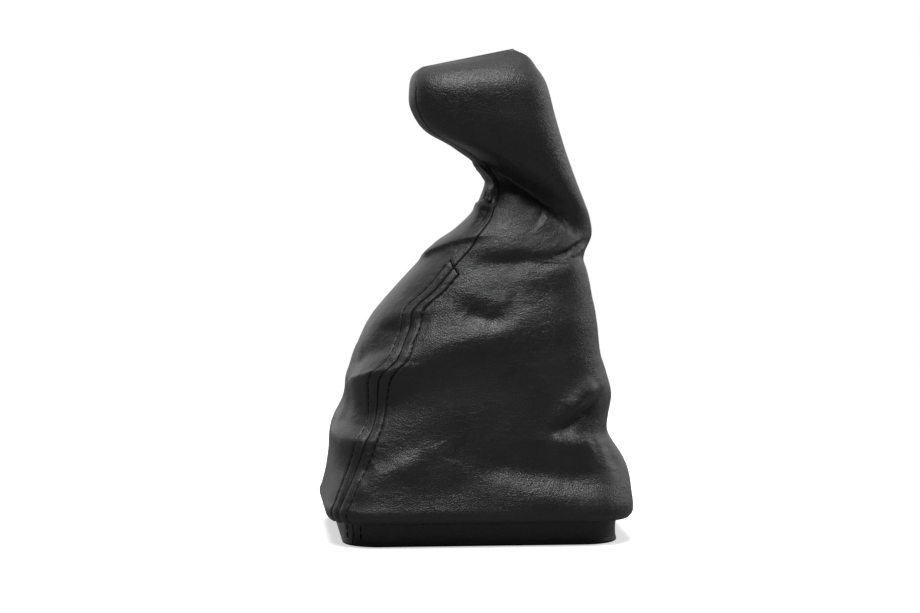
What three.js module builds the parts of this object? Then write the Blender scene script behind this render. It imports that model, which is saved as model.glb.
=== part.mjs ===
// Sewn leather gaiter for a gear lever, with the moulded frame that carries its hem.
//
// Sizes are in millimetres and +Z is up. The origin is the centre of the base, on the plane that
// the hem rests on. The hood leans out over the nose, towards -X, and the left side faces -Y.
//
// Three panels make the skin: a nose gusset that runs from the hem to the hood's front corner, and
// a left and a right panel. They meet the gusset at the two front seams, and each other down the
// tail and over the top of the hood. The skin is worked out first as a stack of rings: around the
// frame, out over the slack roll, up the skirt, in at the waist and over the hood. Folds push the
// rings in and out, and the skin is then cut into panels along its seams.

import * as THREE from "three";

// Moulded base frame
const FRAME_LENGTH = 121;
const FRAME_WIDTH = 92;
const FRAME_CORNER = 15;
const FRAME_HEIGHT = 11;
const FRAME_WALL = 2.2;
const FRAME_EDGE = 0.5;
const LIP_WIDTH = 3.4;
const LIP_THICKNESS = 1.8;

// Leather, and the clearances it is laid with
const LEATHER = 1.4;
const SEAT_GAP = 0.35;
const SEAM_GAP = 0.3;

// Hem, wrapped under the frame and turned up inside it
const HEM_TURN_UP = 7.5;
const HEM_FOLD = 0.9;

// Slack roll that hangs out over the frame: how far at its widest, and how much of that at its
// lowest point and at its swell, whose height is a share of the roll's
const ROLL_OUT_ENDS = 7.5;
const ROLL_OUT_SIDES = 8;
const ROLL_HEIGHT = 4.5;
const ROLL_HANG = 0.6;
const ROLL_LOW_SHARE = 0.75;
const ROLL_SWELL_SHARE = 0.97;
const ROLL_SWELL_HEIGHT = 0.35;

// Skirt, from the top of the frame's band up to the waist
const SKIRT_HEIGHT = 132;

// Waist, whose middle lies this far behind the middle of the frame
const WAIST_BACK = 28;
const WAIST_THICKNESS = 43;
const WAIST_FLARE = 1.2;

// Hood, which covers the knob
const HOOD_LENGTH = 66;
const HOOD_HEIGHT = 77;
const HOOD_THICKNESS = 47;
const CROWN_THICKNESS = 2;

// Seam place and squareness of a ring that doesn't give its own
const BAND_SQUARENESS = 5;
const HOOD_SQUARENESS = 2.8;
const HOOD_SEAM = -0.93;

// Seams: how far each cut edge turns in, and how wide the doubled leather behind it is
const SEAM_SETBACK = 5;
const SEAM_GROOVE = 0.8;
const SEAM_ROUND = 1.2;
const SEAM_ALLOWANCE = 6.5;

// Depth of the folds, as a multiple of the depths listed with them, and how much of its depth a
// fold keeps at its ends
const FOLD_DEPTH = 1;
const FOLD_END_DEPTH = 0.35;
const FOLD_END_LENGTH = 0.25;

// How finely the skin is worked out
const RINGS_PER_STATION = 2;
const OVAL_STEPS = 96;
const OUTWARD_STEP = 0.01;

const LEATHER_MATERIAL = { color: 0x1b1b1c, roughness: 0.5, metalness: 0 };
const FRAME_MATERIAL = { color: 0x101011, roughness: 0.6, metalness: 0 };

const FRAME_BOTTOM = LEATHER + SEAT_GAP;
const FRAME_TOP = FRAME_BOTTOM + FRAME_HEIGHT;
const BAND_OUT = SEAT_GAP + LEATHER;
const BAND_TOP = FRAME_TOP + SEAT_GAP - LEATHER;

const { clamp, lerp } = THREE.MathUtils;

const smooth = (from, to, x) => THREE.MathUtils.smoothstep(x, from, to);

// Rings
//
// A ring is one closed line round the skin, in the plane that holds the Y direction and the line
// from its nose point to its tail point, both given as [x, z]. It is a rounded box where its
// roundness is 0 and an oval where it is 1, whose two halves can be squared off differently. The
// front seam crosses it at a place along that line, where -1 is the nose and 1 the tail.

function frameRing(offset, z, outEnds = 0, outSides = 0) {
  const halfLength = FRAME_LENGTH / 2 + offset + outEnds;
  return {
    nose: [-halfLength, z],
    tail: [halfLength, z],
    halfWidth: FRAME_WIDTH / 2 + offset + outSides,
    corner: FRAME_CORNER + offset + Math.min(outEnds, outSides),
    squareness: BAND_SQUARENESS,
    tailSquareness: BAND_SQUARENESS,
    roundness: 0,
    seam: -1 + SEAM_SETBACK / halfLength,
  };
}

const rollRing = frameRing(BAND_OUT, BAND_TOP + ROLL_HEIGHT, ROLL_OUT_ENDS, ROLL_OUT_SIDES);

// A ring of the hood: its nose and tail as shares of the hood's length and height, counted from
// the middle of the waist.
function hoodRing(nose, tail, thickness, squareness = HOOD_SQUARENESS, seam = HOOD_SEAM) {
  const place = ([along, up]) => [
    WAIST_BACK + along * HOOD_LENGTH,
    BAND_TOP + SKIRT_HEIGHT + up * HOOD_HEIGHT,
  ];
  return {
    nose: place(nose),
    tail: place(tail),
    halfWidth: thickness / 2,
    corner: thickness / 4,
    squareness,
    tailSquareness: squareness,
    roundness: 1,
    seam,
  };
}

const waistRing = hoodRing(
  [-0.55, -0.05],
  [0.35, -0.19],
  WAIST_FLARE * WAIST_THICKNESS,
  2.6,
  -0.68,
);

// A ring of the skirt: its height as a share of the skirt's, how much higher its nose is than its
// tail, also as a share, and how far it has drawn in from the roll to the waist at the nose, the
// tail and the sides.
function skirtRing(up, tilt, noseIn, tailIn, sideIn, squareness, tailSquareness, seam, roundness = 1) {
  const noseHeight = BAND_TOP + up * SKIRT_HEIGHT;
  return {
    nose: [lerp(rollRing.nose[0], waistRing.nose[0], noseIn), noseHeight],
    tail: [lerp(rollRing.tail[0], waistRing.tail[0], tailIn), noseHeight - tilt * SKIRT_HEIGHT],
    halfWidth: lerp(rollRing.halfWidth, waistRing.halfWidth, sideIn),
    corner: rollRing.corner,
    squareness,
    tailSquareness,
    roundness,
    seam,
  };
}

const rollRingAt = (height, share) =>
  frameRing(BAND_OUT, BAND_TOP + height, share * ROLL_OUT_ENDS, share * ROLL_OUT_SIDES);

const stations = [
  // Roll
  rollRingAt(-ROLL_HANG, ROLL_LOW_SHARE),
  rollRingAt(ROLL_SWELL_HEIGHT * ROLL_HEIGHT, ROLL_SWELL_SHARE),
  rollRing,
  // Skirt
  skirtRing(0.07, 0, 0.016, -0.011, 0.083, 4.6, 4.6, -0.91, 0.4),
  skirtRing(0.17, 0.015, 0.047, 0.043, 0.2, 3.8, 4.2, -0.85),
  skirtRing(0.29, 0.008, 0.075, 0.461, 0.317, 3.2, 4, -0.77),
  skirtRing(0.41, 0.008, 0.137, 0.461, 0.401, 2.8, 3.8, -0.79),
  skirtRing(0.53, 0.008, 0.233, 0.584, 0.501, 2.6, 3.6, -0.74),
  skirtRing(0.66, 0.008, 0.365, 0.745, 0.634, 2.5, 3.6, -0.65),
  skirtRing(0.77, 0.015, 0.566, 0.879, 0.768, 2.4, 3.6, -0.64),
  skirtRing(0.88, 0.045, 0.757, 0.976, 0.868, 2.4, 3.4, -0.64),
  // Waist
  waistRing,
  hoodRing([-0.4, 0.09], [0.4, -0.09], WAIST_THICKNESS, 2.4, -0.78),
  hoodRing([-0.38, 0.26], [0.38, 0.03], WAIST_THICKNESS, 2.5, -0.8),
  // Hood
  hoodRing([-0.55, 0.42], [0.3, 0.21], 0.92 * HOOD_THICKNESS, 2.6, -0.9),
  hoodRing([-0.76, 0.53], [0.21, 0.42], HOOD_THICKNESS),
  hoodRing([-0.86, 0.66], [0.14, 0.62], HOOD_THICKNESS),
  hoodRing([-0.87, 0.78], [0.08, 0.81], 0.92 * HOOD_THICKNESS),
  hoodRing([-0.85, 0.86], [0.01, 0.91], 0.7 * HOOD_THICKNESS, 2.5),
  hoodRing([-0.79, 0.905], [-0.07, 0.97], 0.36 * HOOD_THICKNESS, 2.2),
  hoodRing([-0.757, 0.908], [-0.18, 1.008], CROWN_THICKNESS, 2),
];

// The rings at and between the stations, on smooth curves through them. Each also holds the
// station that it lies at, and how far the middle of the skin has climbed up to there.
function ringsThrough(list) {
  const curve = (pick) =>
    new THREE.CatmullRomCurve3(
      list.map((ring) => new THREE.Vector3(...pick(ring))),
      false,
      "catmullrom",
    );
  const nose = curve((ring) => [...ring.nose, ring.seam]);
  const tail = curve((ring) => [...ring.tail, ring.roundness]);
  const girth = curve((ring) => [ring.halfWidth, ring.corner, 0]);
  const shoulders = curve((ring) => [ring.squareness, ring.tailSquareness, 0]);
  const spans = (list.length - 1) * RINGS_PER_STATION;
  const rings = Array.from({ length: spans + 1 }, (_, i) => {
    const n = nose.getPoint(i / spans);
    const t = tail.getPoint(i / spans);
    const g = girth.getPoint(i / spans);
    const s = shoulders.getPoint(i / spans);
    return {
      nose: [n.x, n.y],
      tail: [t.x, t.y],
      halfWidth: g.x,
      corner: g.y,
      squareness: s.x,
      tailSquareness: s.y,
      roundness: clamp(t.z, 0, 1),
      seam: n.z,
      station: i / RINGS_PER_STATION,
    };
  });
  const middle = ({ nose: [x, z], tail: [u, w] }) => new THREE.Vector2((x + u) / 2, (z + w) / 2);
  rings.forEach((ring, i) => {
    const last = rings[i - 1];
    ring.climbed = last ? last.climbed + middle(ring).distanceTo(middle(last)) : 0;
  });
  return rings;
}

const rings = ringsThrough(stations);

// How far the skin has climbed at a station, or between two.
function climbedAt(station) {
  const place = clamp(station * RINGS_PER_STATION, 0, rings.length - 1);
  const below = Math.min(Math.floor(place), rings.length - 2);
  return lerp(rings[below].climbed, rings[below + 1].climbed, place - below);
}

// Outlines
//
// An outline is the half of a ring from the nose round to the tail, in the ring's own plane.

const halfLengthOf = ({ nose, tail }) => Math.hypot(tail[0] - nose[0], tail[1] - nose[1]) / 2;

// The stretches of a rounded box: half its nose, a corner, a side, a corner and half its tail.
function boxStretches(halfLength, halfWidth, corner) {
  const end = halfWidth - corner;
  const bend = (Math.PI / 2) * corner;
  return [end, bend, 2 * (halfLength - corner), bend, end];
}

// A place on a rounded box: the whole part counts its stretches and the rest is the share of the
// next. Boxes of any size that lie one inside the other face the same way at the same place.
function boxPlace(stretches, distance) {
  let left = distance;
  for (let i = 0; i < stretches.length; i++) {
    if (left <= stretches[i] || i === stretches.length - 1) return i + left / stretches[i];
    left -= stretches[i];
  }
}

function boxPoint(halfLength, halfWidth, corner, place) {
  const [x, y] = [halfLength - corner, halfWidth - corner];
  const stretch = clamp(Math.floor(place), 0, 4);
  const share = place - stretch;
  const turn = (share * Math.PI) / 2;
  const [sin, cos] = [Math.sin(turn), Math.cos(turn)];
  if (stretch === 0) return new THREE.Vector2(-halfLength, share * y);
  if (stretch === 1) return new THREE.Vector2(-x - corner * cos, y + corner * sin);
  if (stretch === 2) return new THREE.Vector2(lerp(-x, x, share), halfWidth);
  if (stretch === 3) return new THREE.Vector2(x + corner * sin, y + corner * cos);
  return new THREE.Vector2(halfLength, (1 - share) * y);
}

// An oval with squared-off shoulders, as a chain of short steps.
function ovalOutline(halfLength, { halfWidth, squareness, tailSquareness }) {
  return Array.from({ length: OVAL_STEPS + 1 }, (_, i) => {
    const angle = (i / OVAL_STEPS) * Math.PI;
    const along = Math.cos(angle);
    const power = 2 / (along > 0 ? squareness : tailSquareness);
    return new THREE.Vector2(
      -Math.sign(along) * halfLength * Math.abs(along) ** power,
      halfWidth * Math.sin(angle) ** power,
    );
  });
}

// A chain of points as a function of the share of its length.
function alongChain(points) {
  const ends = [0];
  for (let i = 1; i < points.length; i++)
    ends.push(ends[i - 1] + points[i].distanceTo(points[i - 1]));
  const length = ends.at(-1);
  const at = (share) => {
    const goal = clamp(share, 0, 1) * length;
    let i = 1;
    while (i < ends.length - 1 && ends[i] < goal) i++;
    return points[i - 1].clone().lerp(points[i], (goal - ends[i - 1]) / (ends[i] - ends[i - 1]));
  };
  return { length, at };
}

// A ring's outline as a function of the share of its length.
function outlineOf(ring) {
  const halfLength = halfLengthOf(ring);
  const stretches = boxStretches(halfLength, ring.halfWidth, ring.corner);
  const boxLength = stretches.reduce((sum, stretch) => sum + stretch, 0);
  const box = (share) => {
    const place = boxPlace(stretches, clamp(share, 0, 1) * boxLength);
    return boxPoint(halfLength, ring.halfWidth, ring.corner, place);
  };
  if (ring.roundness === 0) return { length: boxLength, at: box };
  const oval = alongChain(ovalOutline(halfLength, ring));
  return {
    length: lerp(boxLength, oval.length, ring.roundness),
    at: (share) => box(share).lerp(oval.at(share), ring.roundness),
  };
}

// How far round the outline from the nose the front seam lies.
function seamDistance(ring, outline) {
  const goal = ring.seam * halfLengthOf(ring);
  let [low, high] = [0, 1];
  for (let i = 0; i < 24; i++) {
    const share = (low + high) / 2;
    if (outline.at(share).x < goal) low = share;
    else high = share;
  }
  return low * outline.length;
}

// Columns
//
// A column runs from the hem to the top and keeps its place in its panel. On a ring, it lies at a
// distance along the leather from the nose, negative on the left. The first and last columns of a
// panel lie half a seam gap from the seam, and the next few follow the seam too.

const seamInsets = [SEAM_GAP / 2, SEAM_ROUND, SEAM_ALLOWANCE - 1, SEAM_ALLOWANCE + 1];
const sideShares = [
  0.03, 0.09, 0.16, 0.23, 0.3, 0.37, 0.44, 0.51, 0.58, 0.64, 0.69, 0.73, 0.77, 0.81, 0.87,
];
const gussetShares = [-0.76, -0.4, 0, 0.4, 0.76];
const SIDE_COLUMNS = 2 * seamInsets.length + sideShares.length;
const GUSSET_COLUMNS = 2 * (seamInsets.length - 1) + gussetShares.length;

// Near the seams, a narrow panel has its columns drawn in closer.
const crowding = (width) => Math.min(1, width / (4 * SEAM_ALLOWANCE));

function sideColumns(seam, half) {
  const close = crowding(half - seam);
  const front = seamInsets.map((inset) => seam + inset * close);
  const back = seamInsets.map((inset) => half - inset * close).reverse();
  return [...front, ...sideShares.map((share) => lerp(front.at(-1), back[0], share)), ...back];
}

function gussetColumns(seam) {
  const close = crowding(2 * seam);
  const edge = seamInsets.slice(0, -1).map((inset) => seam - inset * close);
  const open = gussetShares.map((share) => share * edge.at(-1));
  return [...edge.map((d) => -d), ...open, ...edge.reverse()];
}

// All the columns of a ring, in order: left panel, gusset, right panel.
function columnsOf(seam, half) {
  const right = sideColumns(seam, half);
  return [...right.map((d) => -d).reverse(), ...gussetColumns(seam), ...right];
}

// Folds
//
// A fold is a ridge, or a valley where its depth is negative, along a line over one face of the
// skin. Its points are [across, station]. Across runs from the nose at -1 to the tail at 1 on the
// left and right faces, and from the left at -1 to the right at 1 on the nose and the tail. The
// station is counted from the band. The two widths are above and below the line.

const fold = (face, depth, above, below, ...line) => ({ face, depth, above, below, line });

const folds = [
  // Crease under the hood, and the rim that bulges out just below it
  fold(
    "left", -5.5, 13, 5.5,
    [-0.36, 13.15], [-0.2, 12.95], [-0.05, 12.75], [0.2, 12.4], [0.5, 12.2], [0.8, 12.2],
  ),
  fold("left", 2.2, 5, 7, [-0.4, 12.5], [-0.25, 12.3], [-0.05, 11.9], [0.15, 11.5]),
  // Crease under the shoulder
  fold(
    "left", -3.4, 6, 5,
    [-0.5, 10.3], [-0.26, 10.25], [0.06, 10.3], [0.37, 10.4], [0.6, 10.6], [0.8, 10.9],
  ),
  // Short ridge and dimple beside the top of the seam's stitching
  fold("left", 2.2, 7, 6, [-0.49, 9.6], [-0.26, 9.3], [-0.01, 9], [0.18, 8.9]),
  fold("left", -2.8, 4, 5, [-0.26, 8.4], [-0.13, 8.2], [0.01, 8.1], [0.14, 8.2]),
  // Long slack ridge across the middle, and the hollow under it
  fold("left", 3.4, 9, 6, [-0.72, 6.95], [-0.45, 7.4], [-0.12, 7.65], [0.3, 7.95], [0.65, 8.1]),
  fold("left", -1.6, 7, 9, [-0.4, 6.3], [-0.1, 6.6], [0.2, 6.9], [0.5, 7]),
  // Fold that runs down to the nose corner
  fold(
    "left", 3.4, 5.5, 7,
    [-0.86, 3.4], [-0.78, 3.8], [-0.69, 4.2], [-0.55, 4.5], [-0.37, 4.9], [-0.27, 5.4],
  ),
  fold("left", -1.8, 5, 6, [-0.7, 3.2], [-0.5, 3.7], [-0.25, 4.2]),
  // Pinch beside the tail corner, and the crease that runs down from it
  fold("left", -3.2, 4.5, 4.5, [0.87, 6], [0.77, 5.6], [0.69, 5.4], [0.63, 5.2], [0.55, 5.1]),
  fold("left", 2, 6, 5, [0.88, 6.4], [0.78, 6.2], [0.7, 5.9], [0.62, 5.6]),
  fold("left", 2, 4.5, 6, [0.5, 4.9], [0.67, 4.8], [0.82, 4.8]),
  fold("left", -2.6, 4.5, 4.5, [0.96, 5.1], [0.93, 4.7], [0.9, 4.3], [0.87, 3.8]),
  // Flare over the roll
  fold("left", 2, 8, 5, [-0.1, 3.2], [0.24, 3.3], [0.47, 3.3], [0.7, 3.3], [0.9, 3]),
  fold("left", -2.4, 8, 7, [-0.1, 4.9], [0.34, 4.9], [0.5, 4.7]),
  // Right
  fold("right", -5, 12, 5.5, [-0.4, 13.2], [-0.2, 13], [0.1, 12.7], [0.5, 12.4], [0.88, 12.2]),
  fold("right", 2.2, 5, 8, [-0.5, 12.9], [-0.25, 12.5], [0.12, 12.1], [0.45, 11.8]),
  fold("right", -3, 7, 4, [-0.5, 10.4], [-0.2, 10], [0.2, 10.1], [0.7, 10.7]),
  fold("right", 3, 8, 7, [-0.6, 7.2], [-0.3, 7.8], [0.1, 8.3], [0.6, 8]),
  fold("right", 2.6, 7, 8, [-0.75, 5.2], [-0.3, 5.6], [0.1, 5.3], [0.5, 5.8]),
  fold("right", -2.8, 4, 5, [0.88, 6], [0.72, 5.3], [0.55, 4.7]),
  fold("right", -2, 7, 7, [-0.2, 4.4], [0.2, 4.1], [0.6, 4.3]),
  // Nose
  fold("nose", 1.6, 8, 4, [-0.9, 10.9], [-0.5, 10.4], [0, 10.1], [0.5, 10.4], [0.9, 10.9]),
  fold("nose", -1.5, 4, 7, [-0.9, 10.3], [-0.5, 9.9], [0, 9.6], [0.5, 9.9], [0.9, 10.3]),
  fold(
    "nose", 1.7, 4, 8,
    [-0.9, 7.3], [-0.6, 6.95], [-0.3, 6.65], [0, 6.55], [0.4, 6.65], [0.9, 7.2],
  ),
  fold("nose", -3, 7, 4, [-0.95, 8.1], [-0.62, 7.75], [-0.3, 7.4]),
  fold("nose", -2.4, 7, 4, [0.3, 7.4], [0.65, 7.6], [0.95, 8]),
  fold("nose", -0.8, 6, 7, [-0.9, 5.6], [0, 5.8], [0.9, 5.5]),
  fold("nose", 0.8, 7, 8, [-0.8, 4.8], [-0.3, 4.9], [0.4, 4.8]),
  fold("nose", -2.2, 5, 5, [-0.6, 12.9], [0, 13], [0.6, 12.9]),
  // Tail
  fold("tail", -0.8, 5, 5, [-0.8, 10.6], [0, 10.4], [0.8, 10.6]),
  fold("tail", -1, 7, 6, [-0.8, 7.3], [0, 7.2], [0.8, 7.4]),
  fold("tail", 1, 7, 7, [-0.8, 6.1], [0, 6], [0.8, 6.2]),
  fold("tail", -1.2, 7, 6, [-0.8, 5], [-0.2, 4.9], [0.7, 5]),
];

// A fold fades out where the skin turns away from its face.
const FADE_START = 0.1;
const FADE_END = 0.75;

const facing = {
  left: (out) => -out.y,
  right: (out) => out.y,
  nose: (out) => -out.x,
  tail: (out) => out.x,
};

// The nearest point of a fold's line, in millimetres over the skin near that ring: how far off it
// is, whether the place is above it, and how far along the line it lies.
function nearestOnFold(line, across, climbed, wide) {
  const spans = line.length - 1;
  let nearest = { distance: Infinity };
  for (let i = 0; i < spans; i++) {
    const [start, end] = [line[i], line[i + 1]];
    const [ax, ay] = [(across - start[0]) * wide, climbed - climbedAt(start[1])];
    const [dx, dy] = [(end[0] - start[0]) * wide, climbedAt(end[1]) - climbedAt(start[1])];
    const share = clamp((ax * dx + ay * dy) / (dx * dx + dy * dy), 0, 1);
    const distance = Math.hypot(ax - share * dx, ay - share * dy);
    const above = (dx * ay - dy * ax) * (dx < 0 ? -1 : 1) > 0;
    if (distance < nearest.distance) nearest = { distance, above, along: (i + share) / spans };
  }
  return nearest;
}

// How far the folds push the skin out, at a place whose outward direction is known.
function foldHeight(ring, halfLength, flat, side, out) {
  let height = 0;
  for (const fold of folds) {
    const turned = smooth(FADE_START, FADE_END, facing[fold.face](out));
    if (turned === 0) continue;
    const lengthwise = fold.face === "left" || fold.face === "right";
    const across = lengthwise ? flat.x / halfLength : (side * flat.y) / ring.halfWidth;
    const wide = lengthwise ? halfLength : ring.halfWidth;
    const { distance, above, along } = nearestOnFold(fold.line, across, ring.climbed, wide);
    const width = above ? fold.above : fold.below;
    const inside = smooth(0, FOLD_END_LENGTH, along) * smooth(0, FOLD_END_LENGTH, 1 - along);
    const ends = lerp(FOLD_END_DEPTH, 1, inside);
    height += turned * ends * fold.depth * Math.exp(-((distance / width) ** 2));
  }
  return FOLD_DEPTH * ring.roundness * height;
}

// Skin

// A ring's point at a signed distance from the nose, with the folds that pass there.
function skinPoint(ring, outline, distance) {
  const side = distance < 0 ? -1 : 1;
  const share = Math.abs(distance) / outline.length;
  const flat = outline.at(share);
  const run = outline.at(share + OUTWARD_STEP).sub(outline.at(share - OUTWARD_STEP)).normalize();
  const halfLength = halfLengthOf(ring);
  const nose = new THREE.Vector3(ring.nose[0], 0, ring.nose[1]);
  const tail = new THREE.Vector3(ring.tail[0], 0, ring.tail[1]);
  const along = tail.clone().sub(nose).normalize();
  const middle = tail.add(nose).multiplyScalar(1 / 2);
  const out = along.clone().multiplyScalar(-run.y).setY(side * run.x).normalize();
  const point = middle.addScaledVector(along, flat.x).setY(side * flat.y);
  if (ring.roundness === 0) return point;
  return point.addScaledVector(out, foldHeight(ring, halfLength, flat, side, out));
}

// The hem's rows, from the edge inside the frame, under it and up the band outside. Each gives
// the offset from the frame's outer face and the height, on the grain side and the flesh side.
const HEM_IN = -(FRAME_WALL + SEAT_GAP + LEATHER);
const HEM_TOP = FRAME_BOTTOM + HEM_TURN_UP;
const HEM_INSIDE = HEM_IN + LEATHER;
const FLESH_FOLD = FRAME_EDGE / 2;
const hemRows = [
  { grain: [HEM_IN, HEM_TOP], flesh: [HEM_INSIDE, HEM_TOP] },
  { grain: [HEM_IN, HEM_FOLD], flesh: [HEM_INSIDE, LEATHER + FLESH_FOLD] },
  { grain: [HEM_IN + HEM_FOLD, 0], flesh: [HEM_INSIDE + FLESH_FOLD, LEATHER] },
  { grain: [BAND_OUT - HEM_FOLD, 0], flesh: [SEAT_GAP - FLESH_FOLD, LEATHER] },
  { grain: [BAND_OUT, HEM_FOLD], flesh: [SEAT_GAP, LEATHER + FLESH_FOLD] },
  { grain: [BAND_OUT, BAND_TOP], flesh: [SEAT_GAP, BAND_TOP + LEATHER / 2] },
];

// The places round the frame at which the columns cross the hem, and how far each is from a seam.
function hemPlaces() {
  const band = frameRing(BAND_OUT, BAND_TOP);
  const outline = outlineOf(band);
  const stretches = boxStretches(halfLengthOf(band), band.halfWidth, band.corner);
  const seam = seamDistance(band, outline);
  return columnsOf(seam, outline.length).map((distance) => ({
    side: distance < 0 ? -1 : 1,
    place: boxPlace(stretches, Math.abs(distance)),
    toSeam: Math.min(Math.abs(Math.abs(distance) - seam), outline.length - Math.abs(distance)),
  }));
}

// A point round the frame, at an offset from its outer face.
function framePoint(offset, z, { side, place }) {
  const [halfLength, halfWidth] = [FRAME_LENGTH / 2 + offset, FRAME_WIDTH / 2 + offset];
  const flat = boxPoint(halfLength, halfWidth, FRAME_CORNER + offset, place);
  return new THREE.Vector3(flat.x, side * flat.y, z);
}

// The leather turns in at the cut edge of each panel.
const seamDepth = (distance) => SEAM_GROOVE * (1 - smooth(0, SEAM_ROUND, distance));

// A side panel stays on its own side of the seam, where the hood narrows at the top.
function keepToSide(point, column, around) {
  if (column < SIDE_COLUMNS) point.y = Math.min(point.y, -SEAM_GAP / 2);
  if (column >= around - SIDE_COLUMNS) point.y = Math.max(point.y, SEAM_GAP / 2);
  return point;
}

function buildSkin() {
  const rows = rings.map((ring) => {
    const outline = outlineOf(ring);
    const seam = seamDistance(ring, outline);
    return columnsOf(seam, outline.length).map((distance) => ({
      point: skinPoint(ring, outline, distance),
      toSeam: Math.min(Math.abs(Math.abs(distance) - seam), outline.length - Math.abs(distance)),
    }));
  });
  const around = rows[0].length;
  const { nose, tail } = stations.at(-1);
  const crown = new THREE.Vector3(nose[1] - tail[1], 0, tail[0] - nose[0]).normalize();
  const at = (r, c) => rows[clamp(r, 0, rows.length - 1)][(c + around) % around].point;
  const shifted = (r, c, inward) => {
    const up = at(r + 1, c).clone().sub(at(r - 1, c));
    const across = at(r, c + 1).clone().sub(at(r, c - 1));
    const out = r < rows.length - 1 ? up.cross(across).normalize() : crown;
    return keepToSide(at(r, c).clone().addScaledVector(out, -inward), c, around);
  };
  const places = hemPlaces();
  const grain = hemRows.map((row) => places.map((place) => framePoint(...row.grain, place)));
  const flesh = hemRows.map((row) => places.map((place) => framePoint(...row.flesh, place)));
  rows.forEach((row, r) => {
    const turnIn = r < rows.length - 1 ? 1 : 0;
    grain.push(row.map(({ toSeam }, c) => shifted(r, c, turnIn * seamDepth(toSeam))));
    flesh.push(
      row.map(({ toSeam }, c) => shifted(r, c, toSeam < SEAM_ALLOWANCE ? 2 * LEATHER : LEATHER)),
    );
  });
  return { grain, flesh };
}

function closedGeometry(positions, index) {
  const geometry = new THREE.BufferGeometry();
  geometry.setAttribute("position", new THREE.Float32BufferAttribute(positions, 3));
  geometry.setIndex(index);
  geometry.computeVertexNormals();
  return geometry;
}

// A panel: the skin between two columns, closed along its four cut edges.
function panelGeometry({ grain, flesh }, first, count) {
  const rows = grain.length;
  const positions = [grain, flesh].flatMap((face) =>
    face.flatMap((row) => row.slice(first, first + count).flatMap((point) => point.toArray())),
  );
  const index = [];
  const quad = (a, b, c, d) => index.push(a, b, c, a, c, d);
  const at = (face, r, c) => (face * rows + r) * count + c;
  for (let r = 0; r < rows - 1; r++)
    for (let c = 0; c < count - 1; c++) {
      quad(at(0, r, c), at(0, r + 1, c), at(0, r + 1, c + 1), at(0, r, c + 1));
      quad(at(1, r, c), at(1, r, c + 1), at(1, r + 1, c + 1), at(1, r + 1, c));
    }
  const top = rows - 1;
  for (let c = 0; c < count - 1; c++) {
    quad(at(0, 0, c), at(0, 0, c + 1), at(1, 0, c + 1), at(1, 0, c));
    quad(at(0, top, c), at(1, top, c), at(1, top, c + 1), at(0, top, c + 1));
  }
  const end = count - 1;
  for (let r = 0; r < top; r++) {
    quad(at(0, r, 0), at(1, r, 0), at(1, r + 1, 0), at(0, r + 1, 0));
    quad(at(0, r, end), at(0, r + 1, end), at(1, r + 1, end), at(1, r, end));
  }
  return closedGeometry(positions, index);
}

// Base frame: a wall with chamfered lower edges, a top edge bevelled to clear the leather that
// bends out over it, and a stiffening lip turned in at its top.
function frameGeometry() {
  const inner = -FRAME_WALL;
  const profile = [
    [-FRAME_EDGE, FRAME_BOTTOM],
    [0, FRAME_BOTTOM + FRAME_EDGE],
    [0, FRAME_TOP - LEATHER],
    [-LEATHER, FRAME_TOP],
    [inner - LIP_WIDTH, FRAME_TOP],
    [inner - LIP_WIDTH, FRAME_TOP - LIP_THICKNESS],
    [inner, FRAME_TOP - LIP_THICKNESS],
    [inner, FRAME_BOTTOM + FRAME_EDGE],
    [inner + FRAME_EDGE, FRAME_BOTTOM],
  ];
  const places = hemPlaces().filter(({ toSeam }) => toSeam > SEAM_ROUND / 2);
  const around = places.length;
  const positions = profile.flatMap(([offset, z]) =>
    places.flatMap((place) => framePoint(offset, z, place).toArray()),
  );
  const index = [];
  for (let p = 0; p < profile.length; p++)
    for (let c = 0; c < around; c++) {
      const [q, d] = [(p + 1) % profile.length, (c + 1) % around];
      const [a, b, e, f] = [p * around + c, q * around + c, q * around + d, p * around + d];
      index.push(a, b, e, a, e, f);
    }
  return closedGeometry(positions, index);
}

function piece(name, geometry, material) {
  const mesh = new THREE.Mesh(geometry, new THREE.MeshStandardMaterial(material));
  mesh.name = name;
  return mesh;
}

const skin = buildSkin();
const leather = (name, first, count) =>
  piece(name, panelGeometry(skin, first, count), LEATHER_MATERIAL);

const gaiter = new THREE.Group();
gaiter.add(
  leather("left_side_panel", 0, SIDE_COLUMNS),
  leather("nose_gusset", SIDE_COLUMNS, GUSSET_COLUMNS),
  leather("right_side_panel", SIDE_COLUMNS + GUSSET_COLUMNS, SIDE_COLUMNS),
  piece("base_frame", frameGeometry(), FRAME_MATERIAL),
);

export default gaiter;
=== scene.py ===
"""Leather gear lever gaiter: the sewn skin with its folds, seams, stitching and hem, on its
moulded base frame, in a plain pale studio."""

import math

import bpy
import numpy as np
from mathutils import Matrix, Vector


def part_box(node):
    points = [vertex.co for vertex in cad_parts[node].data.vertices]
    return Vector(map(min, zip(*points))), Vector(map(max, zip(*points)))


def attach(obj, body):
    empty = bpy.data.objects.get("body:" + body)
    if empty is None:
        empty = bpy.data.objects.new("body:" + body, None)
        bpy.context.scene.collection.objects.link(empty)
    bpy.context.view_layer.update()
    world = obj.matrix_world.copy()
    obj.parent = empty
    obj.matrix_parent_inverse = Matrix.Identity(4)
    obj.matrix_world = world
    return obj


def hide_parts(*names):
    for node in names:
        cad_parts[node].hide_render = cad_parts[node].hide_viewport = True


bl_info = {
    "name": "Gear Lever Gaiter",
    "version": (1, 0, 0),
    "blender": (4, 5, 0),
    "location": "View3D > Sidebar > Gaiter",
    "description": "Leather gaiter for a gear lever, with its folds, stitching, hem and base frame",
    "category": "Add Mesh",
}

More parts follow.
